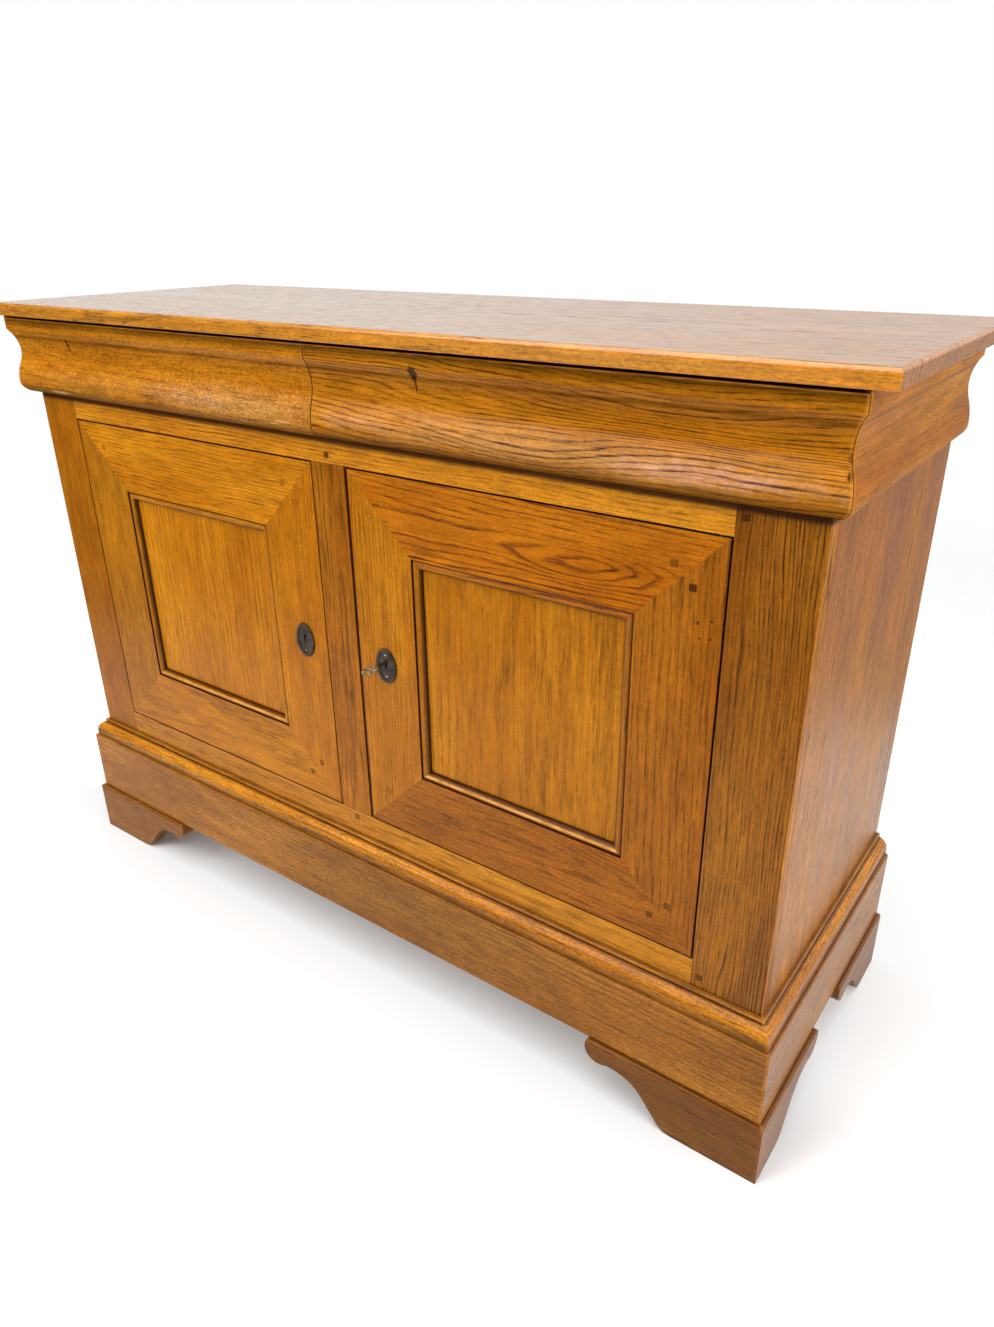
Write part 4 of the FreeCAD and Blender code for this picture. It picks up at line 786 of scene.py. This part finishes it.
class BUFFET_OT_plinth(bpy.types.Operator):
    """Dress the plinth's mouldings and boards and the feet"""
    bl_idname = "buffet.plinth"
    bl_label = "Plinth and feet"

    def execute(self, context):
        oak = context.scene.buffet_oak
        board = {"light": (0.42, 0.168, 0.02), "middle": (0.31, 0.106, 0.009), "coat": oak.coat,
                 "worn": 0.5, "grit": 1.6}
        # Painted light and shade on the plinth mouldings: dark creases at the foot and on both
        # sides of the small bead, painted highlight on the top of the ovolo
        moulding_shades = ((0.0, 0.3), (0.06, 0.55), (0.25, 0.7), (0.42, 0.98), (0.6, 1.2),
                           (0.74, 1.35), (0.79, 0.6), (0.815, 0.3), (0.87, 0.9), (0.93, 1.0),
                           (0.99, 0.7))
        moulding = {"light": (0.56, 0.215, 0.012), "middle": (0.40, 0.132, 0.006), "coat": 0.1,
                    "worn": 0.5, "shades": moulding_shades, "grit": 2.0}
        foot = {"light": (0.3, 0.11, 0.013), "middle": (0.22, 0.072, 0.006),
                "dark": (0.06, 0.018, 0.002), "coat": oak.coat, "ring_depth": 0.45, "worn": 0.4}
        # The pieces that run front to back are painted lighter than those that face the front (tone
        # 1.3 to 1.4): painted light
        dress_oak(oak, "front_plinth_moulding", "x", "z", seed=101.0, ring_depth=0.75, heart=0.015,
                  heart_offset=0.23, lean=0.02, waver=0.02, gloss=0.15, flat=FACE, **moulding)
        dress_oak(oak, "side_plinth_mouldings", "y", "z", seed=104.0, gloss=0.6, tone=1.3,
                  **moulding)
        dress_oak(oak, "front_plinth_fascia", "x", "z", seed=107.0, stain=0.3, waver=0.02, tone=1.1,
                  glaze=((0.1, 0.15, 0.45, 0.2, 1.0, (0.72, 0.74, 0.7)),), **board)
        dress_oak(oak, "side_plinth_fascias", "y", "z", seed=110.0, ring_depth=0.35, gloss=0.6,
                  tone=1.4, **board)
        for side, seed, tone in zip(SIDES, (113.0, 118.0), (1.08, 0.82)):
            dress_oak(oak, f"front_{side}_foot_front", "x", "z", seed=seed, tone=tone, **foot)
            dress_oak(oak, f"front_{side}_foot_side", "y", "z", seed=seed + 2, gloss=0.5, tone=1.3,
                      **foot)
        dress_oak(oak, "rear_foot_brackets", "y", "z", seed=123.0, gloss=0.5, tone=1.3, **foot)
        return {"FINISHED"}


class BUFFET_OT_inside(bpy.types.Operator):
    """Dress the inside of the carcass and the drawer boxes"""
    bl_idname = "buffet.inside"
    bl_label = "Inside"

    def execute(self, context):
        oak = context.scene.buffet_oak
        plain = {"light": (0.60, 0.36, 0.145), "middle": (0.50, 0.28, 0.1),
                 "dark": (0.22, 0.11, 0.035), "coat": 0.0, "mottle": 0.4, "grit": 0.5}
        grains = {
            "back_boards": ("z", "x"), "back_top_rail": ("x", "z"), "cabinet_floor": ("x", "y"),
            "shelf": ("x", "y"), "shelf_cleats": ("y", "z"), "drawer_runners": ("y", "z"),
            "drawer_divider": ("y", "z"), "drawer_kickers": ("y", "z"), "foot_blocks": ("z", "x"),
        }
        for side in SIDES:
            grains[side + "_drawer_sides"] = ("y", "z")
            grains[side + "_drawer_back"] = ("x", "z")
            grains[side + "_drawer_bottom"] = ("x", "y")
        for number, (node, (grain, across)) in enumerate(grains.items()):
            dress_oak(oak, node, grain, across, seed=140.0 + 3 * number, **plain)
        return {"FINISHED"}


class BUFFET_OT_metal(bpy.types.Operator):
    """Dress the locks, plates, pivots and key"""
    bl_idname = "buffet.metal"
    bl_label = "Metalwork"

    def execute(self, context):
        bow_length = 0.024
        steel = {"bright": (0.36, 0.34, 0.32), "tarnish": (0.22, 0.2, 0.18), "wear": 0.8,
                 "metallic": 0.9}
        bronze = {"bright": (0.1, 0.07, 0.042), "tarnish": (0.024, 0.017, 0.01), "wear": 0.7,
                  "metallic": 0.3}
        # The key's shank behind its bow gets painted shade
        brass = {"bright": (0.62, 0.47, 0.25), "tarnish": (0.07, 0.04, 0.016), "wear": 1.0,
                 "metallic": 0.6, "shade_from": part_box("right_key")[0].y + bow_length}
        looks = {"frame_pivots": steel, "right_key": brass}
        for side in SIDES:
            for name in ("_door_pivots", "_lock_case", "_lock_bolt"):
                looks[side + name] = steel
            looks[side + "_escutcheon"] = bronze
        for node, look in looks.items():
            dress(node, metal_material(node, **look))
        return {"FINISHED"}


def dome(centre, radius, steps=16, rings=5):
    """Half ball that bulges towards the front, as vertices, edges and faces."""
    vertices = []
    for ring in range(rings):
        lift = math.pi / 2 * ring / rings
        for step in range(steps):
            turn = 2 * math.pi * step / steps
            rightward, upward = math.cos(turn) * math.cos(lift), math.sin(turn) * math.cos(lift)
            vertices.append(centre + Vector((rightward, -math.sin(lift), upward)) * radius)
    vertices.append(centre + Vector((0.0, -radius, 0.0)))
    faces = []
    for ring in range(rings):
        first, second = ring * steps, (ring + 1) * steps
        for step in range(steps):
            after = (step + 1) % steps
            if ring < rings - 1:
                faces.append((first + step, first + after, second + after, second + step))
            else:
                faces.append((first + step, first + after, len(vertices) - 1))
    return vertices, [], faces


class BUFFET_OT_pins(bpy.types.Operator):
    """Add the round pin heads of the keyhole plates"""
    bl_idname = "buffet.pins"
    bl_label = "Plate pins"

    def execute(self, context):
        material = metal_material("pin_metal", bright=(0.75, 0.68, 0.52), tarnish=(0.25, 0.2, 0.12),
                                  wear=1.0, metallic=0.9)
        offset, radius, sunk = 0.0165, 0.0016, 0.0012
        rises = {"left": (-offset,), "right": (-offset, offset)}
        for side in SIDES:
            low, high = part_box(side + "_escutcheon")
            middle = (low + high) / 2
            for number, rise in enumerate(rises[side], start=1):
                mesh = bpy.data.meshes.new(f"{side}_plate_pin_{number}")
                mesh.from_pydata(*dome(Vector((middle.x, low.y + sunk, middle.z + rise)), radius))
                mesh.polygons.foreach_set("use_smooth", [True] * len(mesh.polygons))
                mesh.materials.append(material)
                pin = bpy.data.objects.new(mesh.name, mesh)
                context.scene.collection.objects.link(pin)
                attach(pin, side + "_door")
        return {"FINISHED"}


# Metres over which the floor fades into the white, as seen and as mirrored, and grows lighter by a
# painted glow

SEEN_FADE = (1.3, 3.2)
MIRRORED_FADE = (0.95, 1.5)
MIRRORED_OVAL = (0.6, 1.0, 1.0)
LIGHTER_RIGHT = (0.55, 0.9)
LIGHTER_BACK = (-0.25, 0.0)


class BUFFET_OT_stage(bpy.types.Operator):
    """Set up the floor, sky, lights and camera"""
    bl_idname = "buffet.stage"
    bl_label = "Stage"

    def execute(self, context):
        stage = context.scene.buffet_stage
        self.add_floor(context, half=4.0)
        self.add_sky(context, stage.sky)
        self.add_light(context, "key_light", place=(-1.6, -3.2, 2.9), target=(0.0, 0.0, 0.5),
                       size=2.6, power=stage.key)
        self.add_light(context, "fill_light", place=(3.2, -0.6, 1.7), target=(0.5, 0.0, 0.5),
                       size=2.2, power=stage.fill)
        self.add_light(context, "overhead_light", place=(0.2, -0.8, 3.4), target=(0.0, -0.2, 0.0),
                       size=3.4, power=stage.overhead)
        self.add_camera(context, stage)
        context.scene.view_settings.view_transform = "Standard"
        return {"FINISHED"}

    def add_floor(self, context, half):
        """Pale floor that fades into white all round, with a painted glow seen only by the camera
        that lightens it and its shadows a little behind and on the right.
        """
        corners = [(-half, -half, 0), (half, -half, 0), (half, half, 0), (-half, half, 0)]
        mesh = bpy.data.meshes.new("floor")
        mesh.from_pydata(corners, [], [(0, 1, 2, 3)])
        floor = bpy.data.objects.new("floor", mesh)
        context.scene.collection.objects.link(floor)
        material, graph, shader = new_material("floor")
        surface = shader.outputs[0].links[0].to_socket
        mottle = graph.speckle(graph.place(), 3.0, detail=3.0)
        paint = graph.mix(mottle, rgba((0.85, 0.868, 0.88)), rgba((0.88, 0.893, 0.9)))
        graph.feed(shader.inputs["Base Color"], paint)
        shader.inputs["Roughness"].default_value = 0.75
        shader.inputs["Emission Color"].default_value = rgba(WHITE)
        path = graph.add("ShaderNodeLightPath").outputs
        reach = graph.vector("LENGTH", graph.place())
        near = graph.vector("LENGTH", graph.vector("MULTIPLY", graph.place(), MIRRORED_OVAL))
        seen_fade, mirrored_fade = graph.remap(reach, *SEEN_FADE), graph.remap(near, *MIRRORED_FADE)
        fade = graph.mix(path["Is Glossy Ray"], seen_fade, mirrored_fade)
        rightward, back, _ = graph.axes()
        # Painted light: a glow seen only by the camera, stronger on the right and behind
        lift_right = graph.remap(rightward, *LIGHTER_RIGHT, 0.0, 0.26)
        lift_back = graph.remap(back, *LIGHTER_BACK, 0.0, 0.28)
        lift = graph.math("MAXIMUM", lift_right, lift_back)
        graph.feed(shader.inputs["Emission Strength"], graph.times(path["Is Camera Ray"], lift))
        clear = graph.add("ShaderNodeBsdfTransparent")
        blend = graph.add("ShaderNodeMixShader")
        for socket, source in zip(blend.inputs, (fade, shader.outputs[0], clear.outputs[0])):
            graph.feed(socket, source)
        graph.feed(surface, blend.outputs[0])
        mesh.materials.append(material)

    def add_sky(self, context, strength):
        """Even light from all round, seen as white, and mirrored brightest from behind."""
        world = bpy.data.worlds.new("studio")
        context.scene.world = world
        world.use_nodes = True
        world.node_tree.nodes.clear()
        graph = Graph(world.node_tree)
        path = graph.add("ShaderNodeLightPath").outputs
        seen = graph.math("MAXIMUM", path["Is Camera Ray"], path["Is Transmission Ray"])
        skyline = (-0.03, 0.05)
        way = graph.add("ShaderNodeTexCoord").outputs["Generated"]
        rightward, back, upward = graph.separate(way)
        behind = graph.times(graph.remap(back, -0.2, 0.4), graph.remap(upward, *skyline))
        brightness = graph.remap(rightward, -0.75, -0.25, 0.82, 0.65)
        mirrored = graph.math("MULTIPLY_ADD", behind, brightness, 0.06)
        below = graph.remap(upward, *skyline, 0.25, 0.0)
        under = graph.times(graph.remap(back, 0.2, 0.6), below)
        mirrored = graph.plus(mirrored, under)
        gain = graph.minus(mirrored, strength)
        soft = graph.math("MULTIPLY_ADD", path["Is Glossy Ray"], gain, strength)
        background = graph.add("ShaderNodeBackground")
        background.inputs["Color"].default_value = rgba(WHITE)
        graph.feed(background.inputs["Strength"], graph.math("MAXIMUM", soft, seen))
        output = graph.add("ShaderNodeOutputWorld")
        graph.feed(output.inputs["Surface"], background.outputs[0])

    def add_light(self, context, name, place, target, size, power):
        """Square soft light that points at a target."""
        data = bpy.data.lights.new(name, "AREA")
        data.shape = "SQUARE"
        data.size = size
        data.energy = power
        light = bpy.data.objects.new(name, data)
        context.scene.collection.objects.link(light)
        light.location = place
        light.rotation_euler = (Vector(target) - Vector(place)).to_track_quat("-Z", "Y").to_euler()

    def add_camera(self, context, stage):
        """Camera at the photograph's place and angle."""
        data = bpy.data.cameras.new("camera")
        data.lens = stage.lens
        data.sensor_width = 36.0
        data.clip_start = 0.02
        camera = bpy.data.objects.new("camera", data)
        context.scene.collection.objects.link(camera)
        ahead = Vector(stage.ahead).normalized()
        rightward = Vector(stage.rightward)
        rightward = (rightward - ahead * rightward.dot(ahead)).normalized()
        place = Matrix((rightward, rightward.cross(ahead), -ahead)).transposed().to_4x4()
        place.translation = Vector(stage.eye)
        camera.matrix_world = place
        context.scene.camera = camera


class BUFFET_PT_panel(bpy.types.Panel):
    """Buffet settings and the steps that dress it"""
    bl_idname = "BUFFET_PT_panel"
    bl_label = "Oak buffet"
    bl_space_type = "VIEW_3D"
    bl_region_type = "UI"
    bl_category = "Buffet"

    def draw(self, context):
        for settings in (context.scene.buffet_oak, context.scene.buffet_stage):
            for name in settings.__annotations__:
                self.layout.prop(settings, name)
        for step in STEPS:
            self.layout.operator(step.bl_idname)


SETTINGS = (BuffetOak, BuffetStage)
STEPS = (
    BUFFET_OT_top, BUFFET_OT_cornice, BUFFET_OT_carcass, BUFFET_OT_doors, BUFFET_OT_plinth,
    BUFFET_OT_inside, BUFFET_OT_metal, BUFFET_OT_pins, BUFFET_OT_stage,
)


def register():
    for item in (*SETTINGS, *STEPS, BUFFET_PT_panel):
        bpy.utils.register_class(item)
    bpy.types.Scene.buffet_oak = bpy.props.PointerProperty(type=BuffetOak)
    bpy.types.Scene.buffet_stage = bpy.props.PointerProperty(type=BuffetStage)


def unregister():
    del bpy.types.Scene.buffet_stage
    del bpy.types.Scene.buffet_oak
    for item in reversed((*SETTINGS, *STEPS, BUFFET_PT_panel)):
        bpy.utils.unregister_class(item)


def main():
    register()
    GROUPS.update(oak=oak_group(), edge=edge_group(), metal=metal_group())
    bpy.ops.buffet.top()
    bpy.ops.buffet.cornice()
    bpy.ops.buffet.carcass()
    bpy.ops.buffet.doors()
    bpy.ops.buffet.plinth()
    bpy.ops.buffet.inside()
    bpy.ops.buffet.metal()
    bpy.ops.buffet.pins()
    bpy.ops.buffet.stage()


if __name__ == "__main__":
    main()
